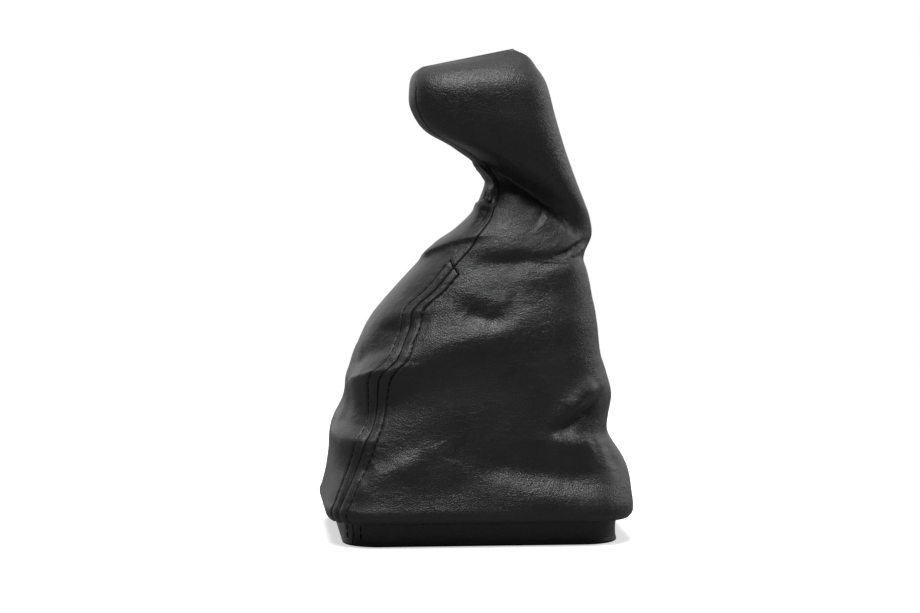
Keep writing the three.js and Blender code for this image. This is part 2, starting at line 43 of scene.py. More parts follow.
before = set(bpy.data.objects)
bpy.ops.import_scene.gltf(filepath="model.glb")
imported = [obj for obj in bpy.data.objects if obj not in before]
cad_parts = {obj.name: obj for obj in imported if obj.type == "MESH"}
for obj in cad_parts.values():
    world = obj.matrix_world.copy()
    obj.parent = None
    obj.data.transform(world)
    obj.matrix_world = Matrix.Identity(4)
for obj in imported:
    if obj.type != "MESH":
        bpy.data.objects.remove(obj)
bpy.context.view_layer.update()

# Sizes of the skin. They are in millimetres up to where a mesh is made, and MM turns them into
# metres there.

MM = 0.001

FRAME_LOW, FRAME_HIGH = (np.array(corner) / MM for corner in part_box("base_frame"))
FRAME_LENGTH, FRAME_WIDTH = (FRAME_HIGH - FRAME_LOW)[:2]
FRAME_BOTTOM = FRAME_LOW[2]
FRAME_TOP = FRAME_HIGH[2]
FRAME_CORNER = 15.0
FRAME_WALL = 2.2

LEATHER = 1.4
SEAT_GAP = 0.35
SEAM_GAP = 0.3

HEM_TURN_UP = 7.5
HEM_FOLD = 0.9
FLESH_FOLD = 0.25

ROLL_OUT_ENDS = 7.5
ROLL_OUT_SIDES = 8.0
ROLL_HEIGHT = 4.5
ROLL_HANG = 0.6

SKIRT_HEIGHT = 132.0

WAIST_BACK = 28.0
WAIST_THICKNESS = 43.0

HOOD_LENGTH = 66.0
HOOD_HEIGHT = 77.0
HOOD_THICKNESS = 47.0

SEAM_SETBACK = 5.0
SEAM_ALLOWANCE = 6.5

BAND_OUT = SEAT_GAP + LEATHER
BAND_TOP = FRAME_TOP + SEAT_GAP - LEATHER
HEM_IN = -(FRAME_WALL + SEAT_GAP + LEATHER)
BAND_PRESS = 0.6

# How closely the skin's points lie: between rows, beside the seams and over the open leather
ROW_STEP = 0.6
SEAM_STEP = 0.35
OPEN_STEP = 0.95
FLESH_EVERY = 4

# Rows of points over the hem's flat parts, round its bends and up the band
HEM_FLAT_ROWS = 8
HEM_BEND_ROWS = 4
BAND_ROWS = 16

# Fine steps for each station at which lengths up the skin are summed
CLIMB_STEPS = 20
LENGTH_STEPS = 40

# Steps round half of a ring
OUTLINE_STEPS = 400
OVAL_STEPS = 300


# Small helpers for numbers

def smooth(low, high, x):
    share = np.clip((x - low) / (high - low), 0, 1)
    return share * share * (3 - 2 * share)


def lerp(a, b, share):
    return a + (b - a) * share


def hump(x, width):
    return np.exp(-((x / width) ** 2))


def unit(vectors):
    return vectors / np.maximum(np.linalg.norm(vectors, axis=-1, keepdims=True), 1e-12)


def noise(across, along, seed):
    """Smooth noise of about -1 to 1, with cells one unit wide."""
    cells = 64
    angles = np.random.default_rng(seed).uniform(0, 2 * np.pi, (cells, cells))
    column, row = np.floor(across).astype(int), np.floor(along).astype(int)
    x, y = across - column, along - row

    def corner(dx, dy):
        angle = angles[(column + dx) % cells, (row + dy) % cells]
        return np.cos(angle) * (x - dx) + np.sin(angle) * (y - dy)

    ease_x, ease_y = smooth(0, 1, x), smooth(0, 1, y)
    low = lerp(corner(0, 0), corner(1, 0), ease_x)
    high = lerp(corner(0, 1), corner(1, 1), ease_x)
    return 1.5 * lerp(low, high, ease_y)


def curve_through(values, places):
    """Rows of values on smooth curves through the given rows, at places counted in rows."""
    values = np.asarray(values, float)
    first, last = 2 * values[0] - values[1], 2 * values[-1] - values[-2]
    chain = np.concatenate([[first], values, [last]])
    places = np.clip(places, 0, len(values) - 1)
    span = np.minimum(places.astype(int), len(values) - 2)
    t = (places - span)[:, None]
    before, start, end, after = (chain[span + i] for i in range(4))
    run_in, run_out = (end - before) / 2, (after - start) / 2
    return (
        (2 * t**3 - 3 * t**2 + 1) * start
        + (t**3 - 2 * t**2 + t) * run_in
        + (3 * t**2 - 2 * t**3) * end
        + (t**3 - t**2) * run_out
    )


# Rings
#
# A ring is one closed line round the skin, in the plane that holds the Y direction and the line
# from its nose point to its tail point. It is a rounded box where its roundness is 0 and an oval
# where it is 1. The front seam crosses it at a place along that line, from -1 to 1.

RING_KEYS = (
    "nose_x", "nose_z", "tail_x", "tail_z", "half_width", "corner",
    "nose_square", "tail_square", "roundness", "seam",
)


def ring(nose, tail, half_width, corner, square, roundness, seam, tail_square=None):
    return (*nose, *tail, half_width, corner, square, tail_square or square, roundness, seam)


def frame_ring(height, out_share=0.0):
    """A ring round the leather band, bulged out by a share of the roll."""
    out_ends, out_sides = out_share * ROLL_OUT_ENDS, out_share * ROLL_OUT_SIDES
    half = FRAME_LENGTH / 2 + BAND_OUT + out_ends
    corner = FRAME_CORNER + BAND_OUT + min(out_ends, out_sides)
    half_width = FRAME_WIDTH / 2 + BAND_OUT + out_sides
    return ring(
        (-half, height), (half, height), half_width, corner, FRAME_SQUARE, 0.0,
        SEAM_SETBACK / half - 1,
    )


FRAME_SQUARE = 5.0
ROLL_END = FRAME_LENGTH / 2 + BAND_OUT + ROLL_OUT_ENDS
ROLL_SIDE = FRAME_WIDTH / 2 + BAND_OUT + ROLL_OUT_SIDES
ROLL_CORNER = FRAME_CORNER + BAND_OUT + ROLL_OUT_ENDS


def skirt_ring(up, tilt, nose_in, tail_in, side_in, square, seam, roundness=1.0, tail_square=None):
    height = BAND_TOP + up * SKIRT_HEIGHT
    return ring(
        (nose_in - ROLL_END, height), (ROLL_END - tail_in, height - tilt), ROLL_SIDE - side_in,
        ROLL_CORNER, square, roundness, seam, tail_square,
    )


def hood_ring(nose, tail, thickness, square=2.8, seam=-0.93, tail_square=None):
    def place(along, up):
        return WAIST_BACK + along * HOOD_LENGTH, BAND_TOP + SKIRT_HEIGHT + up * HOOD_HEIGHT

    return ring(
        place(*nose), place(*tail), thickness / 2, thickness / 4, square, 1.0, seam, tail_square
    )


STATIONS = [
    frame_ring(BAND_TOP - ROLL_HANG, 0.75),
    frame_ring(BAND_TOP + 0.35 * ROLL_HEIGHT, 0.97),
    frame_ring(BAND_TOP + ROLL_HEIGHT, 1),
    skirt_ring(0.07, 0, 1, -0.2, 1.3, 4.6, -0.91, roundness=0.4),
    skirt_ring(0.17, 2, 2.9, 0.8, 4.8, 3.8, -0.85, tail_square=4.2),
    skirt_ring(0.29, 1, 4.6, 8.6, 8.7, 3.2, -0.77, tail_square=4),
    skirt_ring(0.41, 1, 10.5, 8.6, 11.5, 2.8, -0.79, tail_square=3.8),
    skirt_ring(0.53, 1, 14, 10.9, 14, 2.6, -0.74, tail_square=3.6),
    skirt_ring(0.66, 1, 22, 13.9, 18.5, 2.5, -0.65, tail_square=3.6),
    skirt_ring(0.77, 2, 34, 16.4, 23, 2.4, -0.64, tail_square=3.6),
    skirt_ring(0.88, 6, 46.5, 18.2, 26, 2.4, -0.64, tail_square=3.4),
    hood_ring((-0.55, -0.05), (0.35, -0.19), 1.2 * WAIST_THICKNESS, 2.4, -0.68, 3),
    hood_ring((-0.4, 0.09), (0.4, -0.09), WAIST_THICKNESS, 2.4, -0.78),
    hood_ring((-0.38, 0.26), (0.38, 0.03), 0.87 * WAIST_THICKNESS, 2.5, -0.8),
    hood_ring((-0.55, 0.42), (0.3, 0.21), 0.92 * HOOD_THICKNESS, 2.6, -0.9),
    hood_ring((-0.76, 0.53), (0.21, 0.42), HOOD_THICKNESS),
    hood_ring((-0.86, 0.66), (0.14, 0.62), HOOD_THICKNESS),
    hood_ring((-0.87, 0.78), (0.08, 0.81), 0.92 * HOOD_THICKNESS),
    hood_ring((-0.85, 0.86), (0.01, 0.91), 0.7 * HOOD_THICKNESS, 2.5),
    hood_ring((-0.79, 0.905), (-0.05, 0.975), 0.36 * HOOD_THICKNESS, 2.2),
    hood_ring((-0.757, 0.915), (-0.15, 1.018), 0.6, 2),
]


def rings_at(places):
    """The rings at places counted in stations, as arrays by name."""
    values = curve_through(STATIONS, places)
    rings = dict(zip(RING_KEYS, values.T))
    rings["roundness"] = np.clip(rings["roundness"], 0, 1)
    rings["station"] = places
    rings["half_length"] = (
        np.hypot(rings["tail_x"] - rings["nose_x"], rings["tail_z"] - rings["nose_z"]) / 2
    )
    return rings


def climbs():
    """How far the middle of the skin has climbed at fine steps from the first station."""
    places = np.linspace(0, len(STATIONS) - 1, CLIMB_STEPS * len(STATIONS))
    rings = rings_at(places)
    x, z = (rings["nose_x"] + rings["tail_x"]) / 2, (rings["nose_z"] + rings["tail_z"]) / 2
    return places, np.concatenate([[0], np.cumsum(np.hypot(np.diff(x), np.diff(z)))])


CLIMB_PLACES, CLIMB = climbs()


def climbed_at(station):
    return np.interp(station, CLIMB_PLACES, CLIMB)


def row_places():
    """Places for the skin's rows, one row step apart on average over the nose, tail and sides."""
    fine = np.linspace(0, len(STATIONS) - 1, LENGTH_STEPS * len(STATIONS))
    values = curve_through(STATIONS, fine)
    step = np.abs(np.diff(values, axis=0))
    nose, tail = np.hypot(step[:, 0], step[:, 1]), np.hypot(step[:, 2], step[:, 3])
    side = np.hypot((nose + tail) / 2, step[:, 4])
    length = np.concatenate([[0], np.cumsum((nose + tail + side) / 3)])
    rows = FLESH_EVERY * round(length[-1] / ROW_STEP / FLESH_EVERY)
    even = np.linspace(0, length[-1], rows + 1)
    return np.interp(even, length, fine), even


# Outlines
#
# An outline is the half of a ring from the nose round to the tail, in the ring's own plane.

def box_stretches(half_length, half_width, corner):
    end = half_width - corner
    bend = np.pi / 2 * corner
    return [end, bend, 2 * (half_length - corner), bend, end]


def box_place(stretches, distance):
    """A place on a rounded box: whole stretches passed, and the share of the next."""
    place = np.zeros_like(distance)
    left = distance.copy()
    for i, stretch in enumerate(stretches):
        here = (left >= 0) & ((left <= stretch) | (i == len(stretches) - 1))
        place = np.where(here, i + left / stretch, place)
        left = np.where(here, -1, left - stretch)
    return place


def box_point(half_length, half_width, corner, place):
    x, y = half_length - corner, half_width - corner
    stretch = np.clip(np.floor(place), 0, 4)
    share = place - stretch
    sin, cos = np.sin(share * np.pi / 2), np.cos(share * np.pi / 2)
    here = [stretch == i for i in range(5)]
    full = np.ones_like(place)
    return (
        np.select(here, [
            -half_length * full, -x - corner * cos, lerp(-x, x, share), x + corner * sin,
            half_length * full,
        ]),
        np.select(here, [
            share * y, y + corner * sin, half_width * full, y + corner * cos, (1 - share) * y,
        ]),
    )


SHARES = np.linspace(0, 1, OUTLINE_STEPS + 1)


def oval_line(half_length, half_width, nose_square, tail_square):
    angle = np.linspace(0, np.pi, OVAL_STEPS + 1)
    along = np.cos(angle)
    power = 2 / np.where(along > 0, nose_square, tail_square)
    x = -np.sign(along) * half_length * np.abs(along) ** power
    y = half_width * np.maximum(np.sin(angle), 0) ** power
    passed = np.concatenate([[0], np.cumsum(np.hypot(np.diff(x), np.diff(y)))])
    where = SHARES * passed[-1]
    return np.interp(where, passed, x), np.interp(where, passed, y), passed[-1]


def outlines(rings):
    """The outline of each ring at even shares of its length, and that length."""
    xs, ys, lengths = [], [], []
    for i in range(len(rings["station"])):
        size = [rings[key][i] for key in ("half_length", "half_width", "corner")]
        stretches = box_stretches(*size)
        box_length = sum(stretches)
        box_x, box_y = box_point(*size, box_place(stretches, SHARES * box_length))
        oval_x, oval_y, oval_length = oval_line(
            size[0], size[1], rings["nose_square"][i], rings["tail_square"][i]
        )
        roundness = rings["roundness"][i]
        xs.append(lerp(box_x, oval_x, roundness))
        ys.append(lerp(box_y, oval_y, roundness))
        lengths.append(lerp(box_length, oval_length, roundness))
    return np.array(xs), np.array(ys), np.array(lengths)


def on_outline(values, shares):
    return np.stack([np.interp(row, SHARES, line) for row, line in zip(shares, values)])


# Folds
#
# A fold is a ridge, or a valley where its depth is negative, along a line over one face of the
# skin. Its points are (across, station). Across runs from the nose at -1 to the tail at 1 on the
# left and right faces, and from the left at -1 to the right at 1 on the nose and the tail. The
# next numbers are its depth and its widths above and below the line, in millimetres. A last number
# below 2 makes it sharper along its line.

FOLDS = {
    "left": [
        # Crease under the hood, and the rim that bulges out just below it
        (
            [
                (-1.8, 14.4), (-1.4, 14.1), (-1, 13.8), (-0.7, 13.55), (-0.4, 13.3), (-0.1, 13),
                (0.16, 12.68), (0.38, 12.42), (0.65, 12.15), (0.95, 11.95),
            ],
            -7, 12, 11, 1.5,
        ),
        ([(0.02, 12.4), (0.25, 12.2), (0.5, 11.95)], 2.7, 3.2, 7),
        # Crease under the shoulder, and the lip where it runs out at the tail
        (
            [
                (-0.5, 10), (-0.26, 10), (0.06, 10.1), (0.37, 10.25), (0.58, 10.5), (0.8, 11),
                (0.95, 11.5),
            ],
            -1.5, 5, 6,
        ),
        ([(-0.7, 10.15), (-0.35, 10), (0, 10), (0.25, 10.1)], -1.7, 6, 15),
        ([(0.55, 10.6), (0.7, 10.85), (0.84, 11.25), (0.97, 11.7)], -1.6, 1.8, 1.6),
        ([(0.72, 10.7), (0.84, 11), (0.95, 11.4)], 1.6, 1.8, 3),
        # Short ridge and dimple beside the top of the seam's stitching
        ([(-0.5, 9.2), (-0.26, 9), (0, 8.8), (0.18, 8.75)], 1.4, 8, 5),
        ([(-0.26, 8.4), (-0.13, 8.2), (0.01, 8.1), (0.14, 8.2)], -2, 4, 4),
        # Long slack ridge across the middle, and the hollow under it
        (
            [
                (-1.2, 6.7), (-0.95, 6.8), (-0.72, 6.95), (-0.45, 7.4), (-0.12, 7.65), (0.3, 7.95),
                (0.6, 8.1),
            ],
            2.3, 9, 10,
        ),
        ([(-1, 7.7), (-0.8, 7.8), (-0.65, 8), (-0.5, 8.1)], -1.8, 5, 5),
        ([(-1, 5.7), (-0.85, 5.7), (-0.7, 5.8), (-0.5, 6)], -1, 9, 9),
        # Fold that runs down to the nose corner
        ([(-0.86, 3.1), (-0.78, 3.5), (-0.69, 3.9), (-0.55, 4.2), (-0.37, 4.6)], 2.3, 4, 7),
        ([(-0.5, 2.9), (-0.3, 3.2), (-0.05, 3.5)], -1.2, 7, 8),
        # Pinch beside the tail corner, and the crease that runs down from it
        ([(0.87, 6), (0.77, 5.6), (0.69, 5.4), (0.63, 5.2), (0.55, 5.1)], -1.8, 3, 3, 1.6),
        ([(0.88, 6.4), (0.78, 6.2), (0.7, 5.9), (0.62, 5.6)], 2.2, 5, 3.5),
        ([(0.5, 4.9), (0.67, 4.8), (0.82, 4.8)], 1.8, 3.6, 6),
        ([(0.97, 5.3), (0.94, 4.6), (0.91, 4)], -2.6, 3.2, 3.2),
        # Flare over the roll
        ([(0.12, 2.9), (0.4, 2.8), (0.65, 2.7), (0.92, 2.6)], 1.8, 7, 6),
        ([(-0.1, 4.3), (0.2, 4.05), (0.5, 3.8), (0.85, 3.6)], -2.2, 10, 6),
    ],
    "right": [
        ([(-0.6, 13.5), (-0.28, 13), (0.1, 12.7), (0.5, 12.4), (0.88, 12.2)], -5, 12, 4),
        ([(-0.5, 12.9), (-0.25, 12.5), (0.12, 12.1), (0.45, 11.8)], 2.2, 4, 8),
        ([(-0.5, 10.4), (-0.2, 10), (0.2, 10.1), (0.7, 10.7)], -3, 7, 4),
        ([(-0.6, 7.2), (-0.3, 7.8), (0.1, 8.3), (0.6, 8)], 3, 8, 7),
        ([(-0.75, 5.2), (-0.3, 5.6), (0.1, 5.3), (0.5, 5.8)], 2.6, 7, 8),
        ([(0.88, 6), (0.72, 5.3), (0.55, 4.7)], -2.8, 4, 5),
        ([(-0.2, 4.4), (0.2, 4.1), (0.6, 4.3)], -2, 7, 7),
    ],
    "nose": [
        ([(-0.95, 11.1), (-0.77, 10.9), (-0.5, 10.5), (-0.25, 10.15), (-0.05, 10)], 2.2, 6, 2.2),
        ([(0.95, 11), (0.6, 10.6), (0.3, 10.2)], 1.8, 6, 3),
        ([(-0.9, 10.3), (-0.5, 9.9), (0, 9.6), (0.5, 9.9), (0.9, 10.3)], -1, 5, 7),
        ([(-0.56, 12.1), (-0.62, 11.6), (-0.7, 11.1)], -1.5, 2, 1.8),
        ([(-1.1, 7.1), (-0.9, 6.9), (-0.6, 6.6), (-0.3, 6.35)], 3, 2.6, 11, 1.6),
        ([(-0.3, 6.35), (0, 6.3), (0.4, 6.45), (0.9, 7)], 1, 4, 7),
        ([(-0.95, 5.2), (-0.6, 5.2), (-0.2, 5.3)], -2.6, 11, 4),
        ([(-1, 7.65), (-0.62, 7.2), (-0.3, 6.9)], -2.4, 7, 3),
        ([(0.3, 7.4), (0.65, 7.6), (0.95, 8)], -2.4, 7, 4),
        ([(-0.9, 5.6), (0, 5.8), (0.9, 5.5)], -0.5, 6, 7),
        ([(-1, 4.75), (-0.6, 4.9), (-0.2, 5)], 1.2, 2.2, 7),
        ([(-0.8, 4.8), (-0.3, 4.9), (0.4, 4.8)], 0.5, 7, 8),
        # Puckers where the neck closes
        ([(-0.4, 13.6), (-0.55, 13.2), (-0.66, 12.8), (-0.5, 12.6)], 1.3, 1.5, 1.6),
        ([(-0.15, 12.38), (-0.4, 12.34), (-0.66, 12.26)], -2, 2.2, 1.3),
        ([(-0.05, 12), (-0.35, 12.05), (-0.66, 12.05)], 1.7, 1.4, 4),
        ([(0.3, 13.3), (0.55, 12.9)], 1.2, 1.8, 1.8),
        ([(-0.6, 13.62), (0, 13.62), (0.6, 13.62)], -2.6, 4.5, 3),
        ([(-0.6, 12.9), (0, 13), (0.6, 12.9)], -2.2, 5, 5),
    ],
    "tail": [
        ([(-0.8, 10.6), (0, 10.4), (0.8, 10.6)], -0.8, 5, 5),
        ([(-0.8, 7.3), (0, 7.2), (0.8, 7.4)], -1, 7, 6),
        ([(-0.8, 6.1), (0, 6), (0.8, 6.2)], 1, 7, 7),
        ([(-0.8, 5), (-0.2, 4.9), (0.7, 5)], -1.2, 7, 6),
    ],
}

# How softly the stretches of a fold's line run into each other, in millimetres
FOLD_BLEND = 1.5

# How much of a fold is left at its two ends, the share of its line over which it fades to that, and
# the power of its bell shape where its line in the table names no other
FOLD_END_HEIGHT = 0.35
FOLD_FADE = 0.25
FOLD_POWER = 2

# The axis that each face looks along and its sign, and how squarely the skin has to face that way
FACING = {"left": (1, -1), "right": (1, 1), "nose": (0, -1), "tail": (0, 1)}
FACING_START, FACING_FULL = 0.1, 0.75


def fold_shape(fold, across, climbed, wide):
    """How far one fold pushes the skin out, before it is faded by where the skin faces."""
    line, depth, above_width, below_width, *sharpness = fold
    power = sharpness[0] if sharpness else FOLD_POWER
    spans = len(line) - 1
    total = np.zeros(across.shape)
    height = np.zeros(across.shape)
    for i in range(spans):
        (x0, y0), (x1, y1) = line[i], line[i + 1]
        ax, ay = (across - x0) * wide, climbed - climbed_at(y0)
        dx, dy = (x1 - x0) * wide, climbed_at(y1) - climbed_at(y0)
        length = np.hypot(dx, dy)
        share = np.clip((ax * dx + ay * dy) / length**2, 0, 1)
        distance = np.hypot(ax - share * dx, ay - share * dy)
        over = (dx * ay - dy * ax) / length * np.where(dx < 0, -1, 1)
        width = lerp(below_width, above_width, smooth(-1, 1, over))
        along = (i + share) / spans
        ends = lerp(
            FOLD_END_HEIGHT, 1, smooth(0, FOLD_FADE, along) * smooth(0, FOLD_FADE, 1 - along)
        )
        weight = np.exp(-distance / FOLD_BLEND)
        height += weight * ends * np.exp(-((distance / width) ** power))
        total += weight
    return depth * height / total


def fold_height(rings, flat_x, flat_y, side, out_along, out_side):
    """How far all the folds push the skin out at each of its points."""
    height = np.zeros(flat_x.shape)
    climbed = climbed_at(rings["station"])[:, None]
    for face, listed in FOLDS.items():
        axis, sign = FACING[face]
        turned = smooth(FACING_START, FACING_FULL, sign * (out_side if axis else out_along))
        wide = (rings["half_length"] if axis else rings["half_width"])[:, None]
        across = (flat_x if axis else side * flat_y) / wide
        for fold in listed:
            height += turned * fold_shape(fold, across, climbed, wide)
    return rings["roundness"][:, None] * height


# Columns
#
# A column runs from the hem to the top and keeps its place in its panel. On a ring, it lies at a
# distance along the leather from the nose, negative on the left.

# Where the folds pull the front seams aside: station, distance towards the tail and reach
SEAM_PULLS = ((7.1, 3.2, 0.35), (8.4, -4.2, 0.5), (10.2, 1.0, 0.5))

# The topstitching: how far it lies from its seam, the station where it closes, how far its closing
# end leans for each millimetre from the seam, and the length of a stitch
STITCH_ROW = 5.0
STITCH_TOP = 9.75
STITCH_SLANT = 0.65
STITCH_PITCH = 3.4

# Distances from a seam at which columns lie, with one along the stitches
SEAM_COLUMN_COUNT = 22
EVEN_COLUMNS = np.arange(SEAM_COLUMN_COUNT) * SEAM_STEP + SEAM_GAP / 2
SEAM_COLUMNS = np.sort(np.append(EVEN_COLUMNS, STITCH_ROW))


def crowding(width):
    """Beside the seams, a narrow panel has its columns drawn in closer."""
    return np.minimum(1, width / (4 * SEAM_ALLOWANCE))[:, None]


def panel_columns(name, seam, half):
    """How far each column of a panel lies from the nose on each ring."""
    edge = SEAM_COLUMNS[-1]
    if name == "nose_gusset":
        near = seam[:, None] - SEAM_COLUMNS * crowding(2 * seam)
        steps = 2 * round((seam.max() - edge) / OPEN_STEP / 2)
        open_share = np.linspace(-1, 1, steps + 1)[1:-1]
        return np.hstack([-near, near[:, -1:] * open_share, near[:, ::-1]])
    close = crowding(half - seam)
    front = seam[:, None] + SEAM_COLUMNS * close
    back = (half[:, None] - SEAM_COLUMNS * close)[:, ::-1]
    steps = round((half - seam).max() / OPEN_STEP)
    open_share = np.linspace(0, 1, steps + 1)[1:-1]
    right = np.hstack([front, lerp(front[:, -1:], back[:, :1], open_share), back])
    return right if name == "right_side_panel" else -right[:, ::-1]


# The skin

# What the leather does near its seams, in millimetres: its edges roll down into them, the
# allowance pads it out from a first range of distances up to a second, the stitches pull it into a
# channel with a lip beyond it, and the row ends in a dent
EDGE_ROLL, EDGE_ROLL_WIDTH = 0.9, 0.8
PADDING, PADDING_START, PADDING_END = 0.3, (0.6, 2.2), (3.6, 4.8)
CHANNEL_DEPTH, CHANNEL_WIDTH, STITCH_PULL = 0.22, 0.38, 0.3
LIP, LIP_WIDTH, LIP_DISTANCE = 0.1, 1.1, 1.6
CLOSING_DEPTH, CLOSING_WIDTH, CLOSING_PAST_ROW = 0.5, 0.45, 0.6
STITCHING_END = -0.3, 0.5

# Puckers beside the stitches: their height, the width of their band, and their cells and seed
PUCKER_HEIGHT, PUCKER_WIDTH = 0.16, 3.5
PUCKER_CELL, PUCKER_SEED = (9, 2.6), 11

# Waves of the slack leather: their height, then the share, cells and seed of each kind, and the
# distances from a seam over which they set in
SLACK_HEIGHT = 0.22
SLACK_WAVES = ((1, (17, 13), 5), (0.3, (7, 6), 6))
SLACK_START = 1, 6

# Stations over which the slack sets in, over which it calms down and by how much, and over which
# the turned edges flatten out at the top
LOOSE, CALM, CALMED, FLAT_TOP = (2.5, 4.5), (12.5, 14.5), 0.8, (19.6, 20)


def edge_roll(distance):
    """How far a turned edge curves down at a distance from its seam."""
    return -EDGE_ROLL * (1 - np.sqrt(1 - np.clip(1 - distance / EDGE_ROLL_WIDTH, 0, 1) ** 2))


def face_normals(points):
    """The directions square to a grid of points, outward from the skin."""
    return unit(np.cross(np.gradient(points, axis=0), np.gradient(points, axis=1)))


def hem_profile(inside, bottom, outside, bend, top, press):
    """One side of the hem's section, row by row: how far it lies out from the frame and how high,
    from the turned-up edge inside, under the frame and up to the band's top outside."""
    edge = FRAME_BOTTOM + HEM_TURN_UP
    quarter = np.linspace(0, np.pi / 2, HEM_BEND_ROWS + 1)[1:]
    turned = list(zip(bend * (1 - np.cos(quarter)), bend * (1 - np.sin(quarter))))
    across = np.linspace(0, 1, HEM_FLAT_ROWS + 1)[1:]
    up = np.linspace(0, 1, BAND_ROWS + 1)[1:]
    pressed = outside - press * np.sin(np.pi * up**0.7)
    rows = [(inside, z) for z in np.linspace(edge, bottom + bend, HEM_FLAT_ROWS + 1)]
    rows += [(inside + run, bottom + left) for run, left in turned]
    rows += [(lerp(inside + bend, outside - bend, share), bottom) for share in across]
    rows += [(outside - left, bottom + run) for run, left in turned]
    return rows + list(zip(pressed, lerp(bottom + bend, top, up)))


class Panel:
    """The grain and flesh faces of one leather panel, as grids of points in millimetres."""

    def __init__(self, name):
        self.name = name
        places, self.climbed = row_places()
        self.rings = rings_at(places)
        flat_x, flat_y, length = outlines(self.rings)
        seam_x = self.rings["seam"] * self.rings["half_length"]
        for station, pull, reach in SEAM_PULLS:
            seam_x = seam_x + pull * hump(places - station, reach)
        seam = length * np.array([np.interp(x, line, SHARES) for x, line in zip(seam_x, flat_x)])
        self.distance = panel_columns(name, seam, length)
        self.to_seam = np.abs(np.abs(self.distance) - seam[:, None])
        self.to_tail = length[:, None] - np.abs(self.distance)
        base = self.place(flat_x, flat_y, length)
        normals = face_normals(base)
        to_edge = np.minimum(self.to_seam, self.to_tail)
        depth = np.where(to_edge < SEAM_ALLOWANCE, 2 * LEATHER, LEATHER)[..., None]
        hem_grain, hem_flesh = self.hem(length[0])
        self.hem_rows = len(hem_grain)
        grain = base + normals * self.relief()[..., None]
        self.grain = self.keep_to_side(np.concatenate([hem_grain, grain]))
        self.flesh = np.concatenate([hem_flesh, self.keep_to_side(base - normals * depth)])
        self.surface_normals = face_normals(self.grain)

    def place(self, flat_x, flat_y, length):
        """The skin's points without seams or grain, pushed out by the folds."""
        rings = self.rings
        side = np.sign(self.distance)
        shares = np.abs(self.distance) / length[:, None]
        x, y = on_outline(flat_x, shares), on_outline(flat_y, shares)
        step = 0.01
        run_x = on_outline(flat_x, shares + step) - on_outline(flat_x, shares - step)
        run_y = on_outline(flat_y, shares + step) - on_outline(flat_y, shares - step)
        run = np.hypot(run_x, run_y)
        out_along, out_side = -run_y / run, side * run_x / run
        height = fold_height(rings, x, y, side, out_along, out_side)
        nose = np.stack([rings["nose_x"], rings["nose_z"]], 1)[:, None]
        tail = np.stack([rings["tail_x"], rings["tail_z"]], 1)[:, None]
        in_plane = (nose + tail) / 2 + unit(tail - nose) * (x + out_along * height)[..., None]
        return np.stack([in_plane[..., 0], side * y + out_side * height, in_plane[..., 1]], -1)

    def hem(self, length):
        """The rows round the frame, on the grain side and on the flesh side."""
        band = dict(zip(RING_KEYS, frame_ring(BAND_TOP)))
        stretches = box_stretches(band["tail_x"], band["half_width"], band["corner"])
        place = box_place(stretches, np.abs(self.distance[0]) / length * sum(stretches))
        side = np.sign(self.distance[0])

        def row(offset, height):
            sizes = FRAME_LENGTH / 2 + offset, FRAME_WIDTH / 2 + offset, FRAME_CORNER + offset
            x, y = box_point(*sizes, place)
            return np.stack([x, side * y, np.full_like(x, height)], -1)

        grain = hem_profile(HEM_IN, 0, BAND_OUT, HEM_FOLD, BAND_TOP, BAND_PRESS)
        flesh = hem_profile(
            HEM_IN + LEATHER, LEATHER, SEAT_GAP, FLESH_FOLD, BAND_TOP + LEATHER / 2, 0
        )
        return [np.array([row(*point) for point in profile]) for profile in (grain, flesh)]

    def keep_to_side(self, points):
        if self.name == "left_side_panel":
            points[..., 1] = np.minimum(points[..., 1], -SEAM_GAP / 2)
        if self.name == "right_side_panel":
            points[..., 1] = np.maximum(points[..., 1], SEAM_GAP / 2)
        return points

    def stitch_top(self, to_seam):
        """How far the skin has climbed where the stitching closes, square to the leaning seam."""
        top = np.interp(STITCH_TOP, self.rings["station"], self.climbed)
        return top + STITCH_SLANT * to_seam * (1 if self.name == "nose_gusset" else -1)

    def stitch_top_row(self, to_seam):
        """The row of the grain face where the stitching closes."""
        return self.hem_rows + int(np.searchsorted(self.climbed, self.stitch_top(to_seam)))

    def relief(self):
        """How far the leather stands out from the smooth skin: its rolled edges, the channels
        along the topstitching, the pull of each stitch, and the slack between."""
        station = self.rings["station"][:, None]
        along = self.climbed[:, None]
        turned_in = 1 - smooth(*FLAT_TOP, station)
        height = turned_in * (edge_roll(self.to_seam) + edge_roll(self.to_tail))
        below_top = self.stitch_top(self.to_seam) - along
        stitched = smooth(*STITCHING_END, below_top)
        pull = 0.5 + 0.5 * np.cos(2 * np.pi * along / STITCH_PITCH)
        row = self.to_seam - STITCH_ROW
        padded = smooth(*PADDING_START, self.to_seam) * (1 - smooth(*PADDING_END, self.to_seam))
        height += stitched * (
            PADDING * padded
            - (CHANNEL_DEPTH + STITCH_PULL * pull) * hump(row, CHANNEL_WIDTH)
            + LIP * hump(row - LIP_DISTANCE, LIP_WIDTH)
        )
        beside_seam = 1 - smooth(STITCH_ROW, STITCH_ROW + CLOSING_PAST_ROW, self.to_seam)
        height -= CLOSING_DEPTH * hump(below_top, CLOSING_WIDTH) * beside_seam
        puckers = noise(self.to_seam / PUCKER_CELL[0], along / PUCKER_CELL[1], PUCKER_SEED)
        height += PUCKER_HEIGHT * stitched * (puckers * hump(row, PUCKER_WIDTH))
        slack = 0
        for share, (wide, tall), seed in SLACK_WAVES:
            slack = slack + share * noise(self.distance / wide, along / tall, seed)
        loose = smooth(*LOOSE, station) * (1 - CALMED * smooth(*CALM, station))
        height += SLACK_HEIGHT * loose * slack * smooth(*SLACK_START, self.to_seam)
        return height


